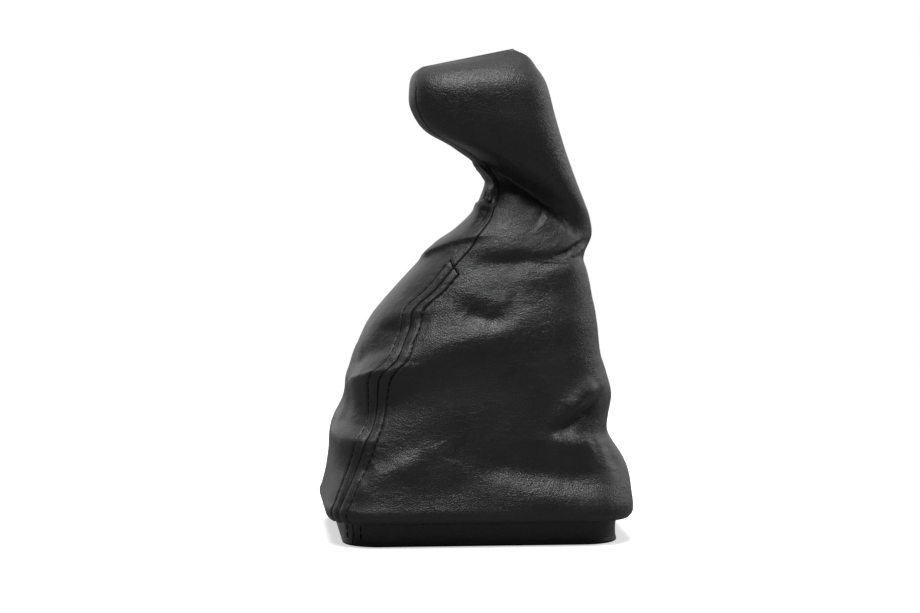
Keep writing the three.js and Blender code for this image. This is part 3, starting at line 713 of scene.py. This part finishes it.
def quads(grid):
    """The faces between the neighbours in a grid of vertex numbers."""
    corners = grid[:-1, :-1], grid[1:, :-1], grid[1:, 1:], grid[:-1, 1:]
    return np.stack(corners, -1).reshape(-1, 4)


def panel_mesh(panel, materials):
    """A closed shell: a fine grain face, a coarser flesh face, and the cut edges between them."""
    rows, columns = panel.grain.shape[:2]
    coarse_rows = np.unique(np.append(np.arange(0, rows, FLESH_EVERY), rows - 1))
    coarse_columns = np.unique(np.append(np.arange(0, columns, FLESH_EVERY), columns - 1))
    flesh = panel.flesh[np.ix_(coarse_rows, coarse_columns)]
    points = np.concatenate([panel.grain.reshape(-1, 3), flesh.reshape(-1, 3)]) * MM
    fine = np.arange(rows * columns).reshape(rows, columns)
    coarse = rows * columns + np.arange(flesh[..., 0].size).reshape(flesh.shape[:2])
    front, back = quads(fine), quads(coarse)[:, [0, 3, 2, 1]]
    faces = front.tolist() + back.tolist()
    rims = []

    def rim(outer, inner, where, turned):
        for i in range(len(where) - 1):
            face = [*outer[where[i]:where[i + 1] + 1].tolist(), int(inner[i + 1]), int(inner[i])]
            rims.append(face[::-1] if turned else face)

    rim(fine[0], coarse[0], coarse_columns, False)
    rim(fine[-1], coarse[-1], coarse_columns, True)
    rim(fine[:, 0], coarse[:, 0], coarse_rows, True)
    rim(fine[:, -1], coarse[:, -1], coarse_rows, False)
    mesh = bpy.data.meshes.new(panel.name + "_skin")
    mesh.from_pydata(points.tolist(), [], faces + rims)
    for material in materials:
        mesh.materials.append(material)
    smooth_faces = np.ones(len(mesh.polygons), bool)
    smooth_faces[len(faces):] = False
    index = np.zeros(len(mesh.polygons), np.int32)
    index[len(front):] = 1
    mesh.polygons.foreach_set("use_smooth", smooth_faces)
    mesh.polygons.foreach_set("material_index", index)
    mesh.update()
    return mesh


# Threads, wire and other round pieces

def tube(points, radius, sides=6):
    """A closed round tube along a line of points, as its vertices and faces."""
    run = unit(np.gradient(points, axis=0))
    start = np.array([0.0, 0.0, 1.0]) if abs(run[0][2]) < 0.9 else np.array([1.0, 0.0, 0.0])
    across = unit(np.cross(run[0], start))
    rings = []
    turn = 2 * np.pi * np.arange(sides) / sides
    for point, ahead in zip(points, run):
        across = unit(across - ahead * np.dot(across, ahead))
        up = np.cross(ahead, across)
        circle = np.outer(np.cos(turn), across) + np.outer(np.sin(turn), up)
        rings.append(point + radius * circle)
    vertices = np.concatenate(rings)
    faces = []
    for i in range(len(points) - 1):
        for j in range(sides):
            k = (j + 1) % sides
            faces.append([i * sides + j, i * sides + k, (i + 1) * sides + k, (i + 1) * sides + j])
    last = (len(points) - 1) * sides
    faces.append(list(range(sides))[::-1])
    faces.append([last + j for j in range(sides)])
    return vertices, faces


def joined(name, parts, material):
    """One mesh from many (vertices, faces), with smooth faces."""
    vertices, faces, start = [], [], 0
    for part_vertices, part_faces in parts:
        vertices.append(part_vertices)
        faces += [[start + i for i in face] for face in part_faces]
        start += len(part_vertices)
    mesh = bpy.data.meshes.new(name)
    mesh.from_pydata((np.concatenate(vertices) * MM).tolist(), [], faces)
    mesh.materials.append(material)
    mesh.polygons.foreach_set("use_smooth", np.ones(len(mesh.polygons), bool))
    mesh.update()
    return mesh


def add_piece(name, mesh):
    piece = bpy.data.objects.new(name, mesh)
    bpy.context.scene.collection.objects.link(piece)
    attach(piece, "root")
    return piece


PANELS = {}


def panel(name):
    """One panel's skin, worked out once."""
    if name not in PANELS:
        PANELS[name] = Panel(name)
    return PANELS[name]


# Node trees

def fill(tree, node, inputs):
    """Fill a node's inputs by name or number, each with a value or with a link from a socket."""
    for key, value in inputs.items():
        if isinstance(value, bpy.types.NodeSocket):
            tree.links.new(value, node.inputs[key])
        else:
            node.inputs[key].default_value = value


def new_node(tree, kind, inputs=None, **settings):
    node = tree.nodes.new(kind)
    for key, value in settings.items():
        setattr(node, key, value)
    fill(tree, node, inputs or {})
    return node


def math_node(tree, operation, *values):
    """The result of a math node over values and sockets."""
    inputs = dict(enumerate(values))
    return new_node(tree, "ShaderNodeMath", inputs, operation=operation).outputs[0]


def noise_node(tree, place, scale, detail=2, distortion=0):
    return new_node(
        tree, "ShaderNodeTexNoise",
        {"Vector": place, "Scale": scale, "Detail": detail, "Distortion": distortion},
    )


def range_node(tree, value, to_low, to_high, low=0, high=1, ease="LINEAR"):
    """A socket's value brought from one range into another."""
    inputs = {
        "Value": value, "From Min": low, "From Max": high, "To Min": to_low, "To Max": to_high,
    }
    return new_node(tree, "ShaderNodeMapRange", inputs, interpolation_type=ease).outputs["Result"]


def bump_node(tree, height, distance):
    """Normals that follow a height of 0 to 1 over the given distance."""
    inputs = {"Height": height, "Distance": distance}
    return new_node(tree, "ShaderNodeBump", inputs).outputs["Normal"]


def ramp(tree, factor, stops):
    node = new_node(tree, "ShaderNodeValToRGB", {"Fac": factor})
    while len(node.color_ramp.elements) < len(stops):
        node.color_ramp.elements.new(0.5)
    for element, (position, colour) in zip(node.color_ramp.elements, stops):
        element.position = position
        element.color = (*colour, 1)
    return node.outputs["Color"]


def object_place(tree):
    return new_node(tree, "ShaderNodeTexCoord").outputs["Object"]


def new_group(name, inputs, outputs):
    """An empty shader group. Inputs are (kind, name, default), outputs are (kind, name)."""
    group = bpy.data.node_groups.new(name, "ShaderNodeTree")
    for kind, label, default in inputs:
        socket = group.interface.new_socket(label, in_out="INPUT", socket_type=kind)
        if default is not None:
            socket.default_value = default
    for kind, label in outputs:
        group.interface.new_socket(label, in_out="OUTPUT", socket_type=kind)
    return group, new_node(group, "NodeGroupInput").outputs, new_node(group, "NodeGroupOutput")


# The leather's grain: how fine the noises for bent pebbles, pores and calm patches are, how far
# pebbles are bent in metres, how high and flat they are, how wrinkles lie, and how much of the
# wrinkles is left in a calm patch
WARPS_PER_METRE, PORES_PER_METRE, PATCHES_PER_METRE = 400, 3500, 35
WARP_REACH = (0.0009, 0.0009, 0.0009)
PEBBLE_HEIGHT = 2.8
PEBBLE_FLAT, PEBBLE_SOFT = 0.28, 0.2
WRINKLE_SLANT = 20
WRINKLE_STRETCH = (0.55, 0.8, 1)
CALM_PATCH = 0.3

# How far the mottle moves the leather's roughness up and down
GLOSS_SPREAD = 0.08


def leather_grain():
    """Pebbled leather grain: its height, and a slow mottle of tone and gloss."""
    if "leather_grain" in bpy.data.node_groups:
        return bpy.data.node_groups["leather_grain"]
    group, given, out = new_group(
        "leather_grain",
        [
            ("NodeSocketVector", "Place", None),
            ("NodeSocketFloat", "Pebbles per Metre", 900.0),
            ("NodeSocketFloat", "Pore Amount", 0.25),
            ("NodeSocketFloat", "Mottle per Metre", 60.0),
            ("NodeSocketFloat", "Wrinkles per Metre", 420.0),
            ("NodeSocketFloat", "Wrinkle Amount", 1.0),
        ],
        [("NodeSocketFloat", "Height"), ("NodeSocketFloat", "Mottle")],
    )
    place = given["Place"]
    warp = noise_node(group, place, WARPS_PER_METRE)
    bent = new_node(
        group, "ShaderNodeVectorMath", {0: warp.outputs["Color"], 1: WARP_REACH, 2: place},
        operation="MULTIPLY_ADD",
    )
    pebbles = new_node(
        group, "ShaderNodeTexVoronoi",
        {"Vector": bent.outputs[0], "Scale": given["Pebbles per Metre"]},
        feature="DISTANCE_TO_EDGE",
    )
    dome = math_node(group, "SMOOTH_MIN", pebbles.outputs["Distance"], PEBBLE_FLAT, PEBBLE_SOFT)
    pores = noise_node(group, place, PORES_PER_METRE, detail=3)
    fine = math_node(group, "MULTIPLY", pores.outputs["Fac"], given["Pore Amount"])
    slant = new_node(group, "ShaderNodeMapping", {
        "Vector": place, "Rotation": (0, math.radians(WRINKLE_SLANT), 0), "Scale": WRINKLE_STRETCH,
    })
    wrinkles = noise_node(
        group, slant.outputs["Vector"], given["Wrinkles per Metre"], distortion=0.6
    )
    patches = noise_node(group, place, PATCHES_PER_METRE)
    here = range_node(group, patches.outputs["Fac"], CALM_PATCH, 1, 0.35, 0.65, "SMOOTHSTEP")
    wrinkled = math_node(group, "MULTIPLY", wrinkles.outputs["Fac"], here)
    wrinkled = math_node(group, "MULTIPLY", wrinkled, given["Wrinkle Amount"])
    height = math_node(group, "MULTIPLY_ADD", dome, PEBBLE_HEIGHT, fine)
    mottle = noise_node(group, place, given["Mottle per Metre"], detail=4)
    fill(group, out, {
        "Height": math_node(group, "ADD", height, wrinkled), "Mottle": mottle.outputs["Fac"],
    })
    return group


def new_material(name):
    material = bpy.data.materials.new(name)
    material.use_nodes = True
    tree = material.node_tree
    return material, tree, tree.nodes["Principled BSDF"]


def leather_material(name, colour, roughness, pebbles, depth, pores, wrinkles):
    if name in bpy.data.materials:
        return bpy.data.materials[name]
    material, tree, shader = new_material(name)
    grain = new_node(
        tree, "ShaderNodeGroup",
        {
            "Place": object_place(tree), "Pebbles per Metre": pebbles, "Pore Amount": pores,
            "Wrinkle Amount": wrinkles,
        },
        node_tree=leather_grain(),
    )
    base = np.array(colour)
    mottle = grain.outputs["Mottle"]
    fill(tree, shader, {
        "Base Color": ramp(tree, mottle, [(0.3, base * 0.8), (0.55, base), (0.75, base * 1.25)]),
        "Roughness": range_node(tree, mottle, roughness - GLOSS_SPREAD, roughness + GLOSS_SPREAD),
        "Normal": bump_node(tree, grain.outputs["Height"], depth),
    })
    return material


def black_leather():
    settings = bpy.context.scene.gaiter_leather
    return leather_material(
        "black_leather", settings.colour, settings.roughness, 1 / settings.pebble,
        settings.grain_depth, pores=0.3, wrinkles=settings.wrinkle_depth / settings.grain_depth,
    )


def leather_flesh():
    settings = bpy.context.scene.gaiter_leather
    return leather_material(
        "leather_flesh", settings.flesh_colour, roughness=0.85, pebbles=1500, depth=0.00012,
        pores=0.9, wrinkles=0,
    )


TWISTS_PER_METRE = 900
TWIST_DEPTH = 0.00008
PLASTIC_GRAINS_PER_METRE = 2600
PLASTIC_GRAIN_DEPTH = 0.00006
STEEL_MARKS_PER_METRE = 900


def thread_material():
    if "black_thread" in bpy.data.materials:
        return bpy.data.materials["black_thread"]
    settings = bpy.context.scene.gaiter_seams
    material, tree, shader = new_material("black_thread")
    inputs = {"Vector": object_place(tree), "Scale": TWISTS_PER_METRE}
    twist = new_node(tree, "ShaderNodeTexWave", inputs, bands_direction="DIAGONAL").outputs["Fac"]
    fill(tree, shader, {
        "Base Color": (*settings.thread_colour, 1),
        "Specular IOR Level": 0.1,
        "Roughness": range_node(tree, twist, 0.6, 0.85),
        "Normal": bump_node(tree, twist, TWIST_DEPTH),
    })
    return material


def frame_plastic():
    settings = bpy.context.scene.gaiter_hem
    material, tree, shader = new_material("moulded_plastic")
    texture = noise_node(tree, object_place(tree), PLASTIC_GRAINS_PER_METRE, detail=3)
    grain = texture.outputs["Fac"]
    base = np.array(settings.plastic_colour)
    fill(tree, shader, {
        "Base Color": ramp(tree, grain, [(0.3, base * 0.85), (0.7, base * 1.2)]),
        "Roughness": range_node(tree, grain, 0.45, 0.6),
        "Normal": bump_node(tree, grain, PLASTIC_GRAIN_DEPTH),
    })
    return material


def staple_steel():
    settings = bpy.context.scene.gaiter_hem
    material, tree, shader = new_material("staple_steel")
    texture = noise_node(tree, object_place(tree), STEEL_MARKS_PER_METRE)
    fill(tree, shader, {
        "Base Color": (*settings.steel_colour, 1),
        "Metallic": 1,
        "Roughness": range_node(tree, texture.outputs["Fac"], 0.25, 0.5),
    })
    return material


# Settings

def colour_setting(name, description, default):
    return bpy.props.FloatVectorProperty(
        name=name, description=description, default=default, size=3, min=0, max=1,
        subtype="COLOR",
    )


def length_setting(name, description, default, low, high):
    return bpy.props.FloatProperty(
        name=name, description=description, default=default, min=low, max=high, unit="LENGTH",
        precision=5,
    )


def share_setting(name, description, default, low=0, high=1):
    return bpy.props.FloatProperty(
        name=name, description=description, default=default, min=low, max=high,
        subtype="FACTOR",
    )


def power_setting(name, description, default):
    return bpy.props.FloatProperty(
        name=name, description=description, default=default, min=0, unit="POWER"
    )


class LeatherSettings(bpy.types.PropertyGroup):
    colour: colour_setting(
        "Grain Colour", "Colour of the leather's dyed grain side", (0.012, 0.012, 0.0125)
    )
    flesh_colour: colour_setting(
        "Flesh Colour", "Colour of the leather's suede inner side", (0.055, 0.05, 0.048)
    )
    roughness: share_setting("Roughness", "Roughness of the finished grain side", 0.44, 0.1)
    pebble: length_setting(
        "Pebble Size", "Width of one pebble of the leather's grain", 0.0009, 0.0003, 0.005
    )
    grain_depth: length_setting(
        "Grain Depth", "Depth of the creases between the pebbles", 0.0001, 0, 0.001
    )
    wrinkle_depth: length_setting(
        "Wrinkle Depth", "Depth of the fine slanting wrinkles", 0.00032, 0, 0.002
    )


class SeamSettings(bpy.types.PropertyGroup):
    thread_diameter: length_setting(
        "Thread Diameter", "Thickness of the sewing thread", 0.0006, 0.0002, 0.002
    )
    thread_colour: colour_setting(
        "Thread Colour", "Colour of the sewing thread", (0.004, 0.004, 0.004)
    )
    stitch_share: share_setting(
        "Stitch Share", "How much of each stitch shows above the leather", 0.78, 0.3, 0.95
    )


class HemSettings(bpy.types.PropertyGroup):
    staples: bpy.props.IntProperty(
        name="Staples", description="Staples that hold the turned-up hem to the frame",
        default=16, min=4, max=60,
    )
    staple_width: length_setting("Staple Width", "Length of a staple's crown", 0.008, 0.003, 0.015)
    wire: length_setting("Wire", "Thickness of the staple wire", 0.0008, 0.0003, 0.002)
    steel_colour: colour_setting("Steel Colour", "Colour of the staples", (0.55, 0.55, 0.54))
    plastic_colour: colour_setting(
        "Plastic Colour", "Colour of the moulded base frame", (0.02, 0.02, 0.021)
    )


class StudioSettings(bpy.types.PropertyGroup):
    floor_colour: colour_setting("Floor Colour", "Colour of the floor", (0.85, 0.85, 0.85))
    floor_glow: share_setting(
        "Floor Glow", "White that lifts the floor as the camera sees it", 0.55
    )
    floor_bounce: colour_setting(
        "Floor Bounce", "Colour that the floor throws back up at the object", (0.25, 0.25, 0.25)
    )
    overhead_power: power_setting("Overhead Power", "Power of the softbox above", 32)
    overhead_size: length_setting("Overhead Size", "Width of the softbox above", 0.8, 0.1, 5)
    side_power: power_setting("Side Power", "Power of the softbox on the tail side", 5.5)
    back_power: power_setting("Back Power", "Power of the softbox behind the nose", 2.4)
    front_reflection: share_setting(
        "Front Reflection", "Brightness of the studio in front, as seen in gloss", 0.03
    )
    world_strength: share_setting(
        "World Strength", "Strength of the soft light from all round", 0.2
    )


SETTINGS = {
    "gaiter_leather": LeatherSettings,
    "gaiter_seams": SeamSettings,
    "gaiter_hem": HemSettings,
    "gaiter_studio": StudioSettings,
}


# Operators

class GAITER_OT_side_panels(bpy.types.Operator):
    """Make the left and right leather panels"""

    bl_idname = "gaiter.side_panels"
    bl_label = "Side Panels"

    def execute(self, context):
        for name in ("left_side_panel", "right_side_panel"):
            mesh = panel_mesh(panel(name), [black_leather(), leather_flesh()])
            piece = add_piece(name.replace("_panel", "_leather"), mesh)
            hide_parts(name)
        return {"FINISHED"}


class GAITER_OT_nose_gusset(bpy.types.Operator):
    """Make the leather gusset between the two front seams"""

    bl_idname = "gaiter.nose_gusset"
    bl_label = "Nose Gusset"

    def execute(self, context):
        mesh = panel_mesh(panel("nose_gusset"), [black_leather(), leather_flesh()])
        piece = add_piece("nose_gusset_leather", mesh)
        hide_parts("nose_gusset")
        return {"FINISHED"}


# Points along one stitch, how far its middle rises over its ends and how deep these dip in, how far
# the closing thread stands out, and how many rows up the band the stitching starts
STITCH_POINTS = 9
STITCH_RISE, STITCH_DIP = 0.35, 0.25
CLOSING_LIFT = 0.1
STITCH_START_ROWS = 2

# The row on which the stitches' column is looked up
LOOKUP_ROW = 120

# How deep the thread lies in a seam, and how many rows below the band it starts
SEAM_THREAD_DEPTH = 0.45
SEAM_THREAD_ROWS = 2


def stitch_lines(line, first, last, share):
    """The lines of separate stitches between two rows of a line of points."""
    passed = np.concatenate([[0], np.cumsum(np.linalg.norm(np.diff(line, axis=0), axis=1))])
    start, end = passed[first], passed[last]
    along = np.linspace(-0.5, 0.5, STITCH_POINTS) * share
    for i in range(int((end - start) / STITCH_PITCH)):
        where = start + (i + 0.5 + along) * STITCH_PITCH
        yield np.stack([np.interp(where, passed, line[:, axis]) for axis in range(3)], 1)


def stitch_tubes(skin, side, radius, share):
    """The tubes of one row of stitches on a panel, and of the thread that closes it at the top."""
    to_seam = np.where(np.sign(skin.distance) == side, skin.to_seam, np.inf)
    column = int(np.argmin(np.abs(to_seam[LOOKUP_ROW] - STITCH_ROW)))
    line, normals = skin.grain[:, column], skin.surface_normals[:, column]
    first = skin.hem_rows - BAND_ROWS + STITCH_START_ROWS
    top = skin.stitch_top_row(STITCH_ROW)
    bow = np.sqrt(np.maximum(np.sin(np.linspace(0, np.pi, STITCH_POINTS)), 0))
    lift = (STITCH_RISE * bow - STITCH_DIP)[:, None]
    tubes = []
    for points in stitch_lines(line, first, top, share):
        nearest = [np.argmin(np.linalg.norm(line - point, axis=1)) for point in points]
        tubes.append(tube(points + normals[nearest] * lift, radius))
    to_seam = to_seam[top - skin.hem_rows]
    between = (to_seam < STITCH_ROW + 0.1).nonzero()[0]
    rows = [skin.stitch_top_row(to_seam[i]) for i in between]
    closing = skin.grain[rows, between] + skin.surface_normals[rows, between] * CLOSING_LIFT
    return tubes + [tube(closing, radius)]


class GAITER_OT_topstitching(bpy.types.Operator):
    """Make the rows of stitches beside the two front seams"""

    bl_idname = "gaiter.topstitching"
    bl_label = "Topstitching"

    def execute(self, context):
        settings = context.scene.gaiter_seams
        radius = settings.thread_diameter / 2 / MM
        for side, label in ((-1, "left"), (1, "right")):
            tubes = []
            for name in (f"{label}_side_panel", "nose_gusset"):
                tubes += stitch_tubes(panel(name), side, radius, settings.stitch_share)
            mesh = joined(f"{label}_topstitching_mesh", tubes, thread_material())
            add_piece(f"{label}_topstitching", mesh)
        return {"FINISHED"}


class GAITER_OT_seam_threads(bpy.types.Operator):
    """Make the thread that lies deep in each seam"""

    bl_idname = "gaiter.seam_threads"
    bl_label = "Seam Threads"

    def execute(self, context):
        radius = context.scene.gaiter_seams.thread_diameter / MM
        left, right = panel("left_side_panel"), panel("right_side_panel")
        gusset = panel("nose_gusset")
        seams = {
            "left_seam_thread": (left, -1, gusset, 0),
            "right_seam_thread": (right, 0, gusset, -1),
            "tail_seam_thread": (left, 0, right, -1),
        }
        rows = slice(gusset.hem_rows - BAND_ROWS - SEAM_THREAD_ROWS, -2)
        for name, (skin, column, other, other_column) in seams.items():
            line = (skin.grain[rows, column] + other.grain[rows, other_column]) / 2
            out = unit(
                skin.surface_normals[rows, column] + other.surface_normals[rows, other_column]
            )
            line = (line - out * SEAM_THREAD_DEPTH)[::2]
            mesh = joined(f"{name}_mesh", [tube(line, radius)], thread_material())
            add_piece(name, mesh)
        return {"FINISHED"}


class GAITER_OT_base_frame(bpy.types.Operator):
    """Finish the moulded frame inside the hem"""

    bl_idname = "gaiter.base_frame"
    bl_label = "Base Frame"

    def execute(self, context):
        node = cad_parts["base_frame"]
        for slot in node.material_slots:
            slot.material = frame_plastic()
        return {"FINISHED"}


# Points along a staple's crown, how far it lies below the turned-up edge, how deep its legs go in,
# and how far the crown stands out as a share of the wire
STAPLE_POINTS = 9
STAPLE_DROP = 2.6
STAPLE_LEG = 1.6
STAPLE_PROUD = 0.35


class GAITER_OT_staples(bpy.types.Operator):
    """Make the staples that hold the turned-up hem to the frame"""

    bl_idname = "gaiter.staples"
    bl_label = "Hem Staples"

    def execute(self, context):
        settings = context.scene.gaiter_hem
        width, wire = settings.staple_width / MM, settings.wire / MM
        sizes = (FRAME_LENGTH / 2 + HEM_IN, FRAME_WIDTH / 2 + HEM_IN, FRAME_CORNER + HEM_IN)
        stretches = box_stretches(*sizes)
        length = 2 * sum(stretches)
        height = FRAME_BOTTOM + HEM_TURN_UP - STAPLE_DROP
        staples = []
        for i in range(settings.staples):
            middle = (i + 0.5) / settings.staples * length
            places = middle + np.linspace(-0.5, 0.5, STAPLE_POINTS) * width
            side = np.where(places % length < length / 2, 1, -1)
            half = np.where(side > 0, places % length, length - places % length)
            x, y = box_point(*sizes, box_place(stretches, half))
            crown = np.stack([x, side * y, np.full_like(x, height)], 1)
            inward = unit(np.array([0, 0, height]) - crown.mean(axis=0))
            inward[2] = 0
            crown = crown + inward * wire * STAPLE_PROUD
            leg = inward * STAPLE_LEG
            wire_line = np.concatenate([crown[:1] - leg, crown, crown[-1:] - leg])
            staples.append(tube(wire_line, wire / 2))
        mesh = joined("hem_staples_mesh", staples, staple_steel())
        add_piece("hem_staples", mesh)
        return {"FINISHED"}


# The studio

CAMERA_AZIMUTH = math.radians(-5)
CAMERA_ELEVATION = math.radians(4.5)
CAMERA_DISTANCE = 1.4
CAMERA_TARGET = Vector((-0.0062, 0.0, 0.1039))
CAMERA_LENS = 119.1
CAMERA_SENSOR = 36.0
CAMERA_REACH = 50

# Half the floor's length, and the distances over which it fades to white
FLOOR_HALF = 6.0
FLOOR_FADE_START = 0.25
FLOOR_FADE_END = 0.9

# How far back a mirrored direction points where the bright half of the studio starts and is full
BRIGHT_START = 0.3
BRIGHT_FULL = 0.9

SIDE_SIZE = 0.7
BACK_SIZE = 0.8
WHITE = (1, 1, 1, 1)


def pointed_from(thing, place, back):
    """Put a camera or a light at a place, looking away from the direction behind it."""
    thing.location = place
    thing.rotation_euler = back.to_track_quat("Z", "Y").to_euler()
    bpy.context.scene.collection.objects.link(thing)


class GAITER_OT_studio(bpy.types.Operator):
    """Make the floor, the soft lights and the camera"""

    bl_idname = "gaiter.studio"
    bl_label = "Studio"

    def execute(self, context):
        scene = context.scene
        settings = scene.gaiter_studio
        scene.view_settings.view_transform = "Standard"
        self.add_camera(scene)
        self.add_floor(scene, settings)
        self.add_world(scene, settings)
        self.add_lights(settings)
        return {"FINISHED"}

    def add_camera(self, scene):
        data = bpy.data.cameras.new("camera")
        data.lens = CAMERA_LENS
        data.sensor_width = CAMERA_SENSOR
        data.sensor_fit = "HORIZONTAL"
        data.clip_end = CAMERA_REACH
        camera = bpy.data.objects.new("camera", data)
        back = Vector((
            math.sin(CAMERA_AZIMUTH) * math.cos(CAMERA_ELEVATION),
            -math.cos(CAMERA_AZIMUTH) * math.cos(CAMERA_ELEVATION),
            math.sin(CAMERA_ELEVATION),
        ))
        pointed_from(camera, CAMERA_TARGET + back * CAMERA_DISTANCE, back)
        scene.camera = camera

    def add_floor(self, scene, settings):
        """A pale floor that takes the object's shadow and fades to white away from it."""
        half = FLOOR_HALF
        corners = [(-half, -half, 0), (half, -half, 0), (half, half, 0), (-half, half, 0)]
        mesh = bpy.data.meshes.new("floor")
        mesh.from_pydata(corners, [], [(0, 1, 2, 3)])
        material, tree, shader = new_material("floor_paint")
        seen = new_node(tree, "ShaderNodeLightPath").outputs["Is Camera Ray"]
        paint = new_node(tree, "ShaderNodeMixRGB", {
            "Fac": seen,
            "Color1": (*settings.floor_bounce, 1),
            "Color2": (*settings.floor_colour, 1),
        })
        fill(tree, shader, {
            "Base Color": paint.outputs["Color"],
            "Roughness": 0.9,
            "Specular IOR Level": 0,
            "Emission Color": WHITE,
            "Emission Strength": math_node(tree, "MULTIPLY", seen, settings.floor_glow),
        })
        away = new_node(
            tree, "ShaderNodeVectorMath", {0: object_place(tree)}, operation="LENGTH"
        ).outputs["Value"]
        far = range_node(tree, away, 0, 1, FLOOR_FADE_START, FLOOR_FADE_END, "SMOOTHSTEP")
        white = new_node(tree, "ShaderNodeEmission", {"Color": WHITE})
        mix = new_node(tree, "ShaderNodeMixShader", {
            "Fac": math_node(tree, "MULTIPLY", seen, far),
            1: shader.outputs["BSDF"],
            2: white.outputs["Emission"],
        })
        fill(tree, tree.nodes["Material Output"], {"Surface": mix.outputs["Shader"]})
        mesh.materials.append(material)
        floor = bpy.data.objects.new("floor", mesh)
        scene.collection.objects.link(floor)

    def add_world(self, scene, settings):
        """White where the camera looks past the object, and soft light all round. Gloss mirrors
        only the half behind the object brightly."""
        world = bpy.data.worlds.new("studio_world")
        world.use_nodes = True
        tree = world.node_tree
        ray = new_node(tree, "ShaderNodeLightPath").outputs
        generated = new_node(tree, "ShaderNodeTexCoord").outputs["Generated"]
        split = new_node(tree, "ShaderNodeSeparateXYZ", {0: generated})
        behind = range_node(
            tree, split.outputs["Y"], settings.front_reflection, 1, BRIGHT_START, BRIGHT_FULL,
            "SMOOTHSTEP",
        )
        glossy = math_node(tree, "MAXIMUM", ray["Is Glossy Ray"], ray["Is Transmission Ray"])
        mirrored = math_node(tree, "MULTIPLY", glossy, behind)
        seen = math_node(tree, "MAXIMUM", ray["Is Camera Ray"], mirrored)
        direct = math_node(tree, "MAXIMUM", ray["Is Camera Ray"], glossy)
        unseen = math_node(tree, "SUBTRACT", 1, direct)
        strength = math_node(tree, "MULTIPLY_ADD", unseen, settings.world_strength, seen)
        fill(tree, tree.nodes["Background"], {"Color": WHITE, "Strength": strength})
        scene.world = world

    def add_lights(self, settings):
        overhead = settings.overhead_size, settings.overhead_power
        lights = (
            ("overhead_softbox", (-0.1, -0.36, 1.65), (0, 0, 0.1), *overhead),
            ("side_softbox", (1.2, 0.45, 0.7), (0, 0, 0.08), SIDE_SIZE, settings.side_power),
            ("back_softbox", (-0.9, 1.0, 0.7), (0, 0, 0.1), BACK_SIZE, settings.back_power),
        )
        for name, place, target, size, power in lights:
            data = bpy.data.lights.new(name, "AREA")
            data.shape = "SQUARE"
            data.size = size
            data.energy = power
            light = bpy.data.objects.new(name, data)
            pointed_from(light, place, Vector(place) - Vector(target))


OPERATORS = (
    GAITER_OT_studio,
    GAITER_OT_side_panels,
    GAITER_OT_nose_gusset,
    GAITER_OT_topstitching,
    GAITER_OT_seam_threads,
    GAITER_OT_base_frame,
    GAITER_OT_staples,
)


class GAITER_PT_panel(bpy.types.Panel):
    """Lists the gaiter's pieces and their settings"""

    bl_idname = "GAITER_PT_panel"
    bl_label = "Gear Lever Gaiter"
    bl_space_type = "VIEW_3D"
    bl_region_type = "UI"
    bl_category = "Gaiter"

    def draw(self, context):
        for operator in OPERATORS:
            self.layout.operator(operator.bl_idname)
        for name, group in SETTINGS.items():
            box = self.layout.box()
            for key in group.__annotations__:
                box.prop(getattr(context.scene, name), key)


def register():
    for group in SETTINGS.values():
        bpy.utils.register_class(group)
    for name, group in SETTINGS.items():
        setattr(bpy.types.Scene, name, bpy.props.PointerProperty(type=group))
    for operator in OPERATORS:
        bpy.utils.register_class(operator)
    bpy.utils.register_class(GAITER_PT_panel)


def unregister():
    bpy.utils.unregister_class(GAITER_PT_panel)
    for operator in reversed(OPERATORS):
        bpy.utils.unregister_class(operator)
    for name in SETTINGS:
        delattr(bpy.types.Scene, name)
    for group in reversed(SETTINGS.values()):
        bpy.utils.unregister_class(group)


def main():
    register()
    bpy.ops.gaiter.studio()
    bpy.ops.gaiter.side_panels()
    bpy.ops.gaiter.nose_gusset()
    bpy.ops.gaiter.topstitching()
    bpy.ops.gaiter.seam_threads()
    bpy.ops.gaiter.base_frame()
    bpy.ops.gaiter.staples()


if __name__ == "__main__":
    main()
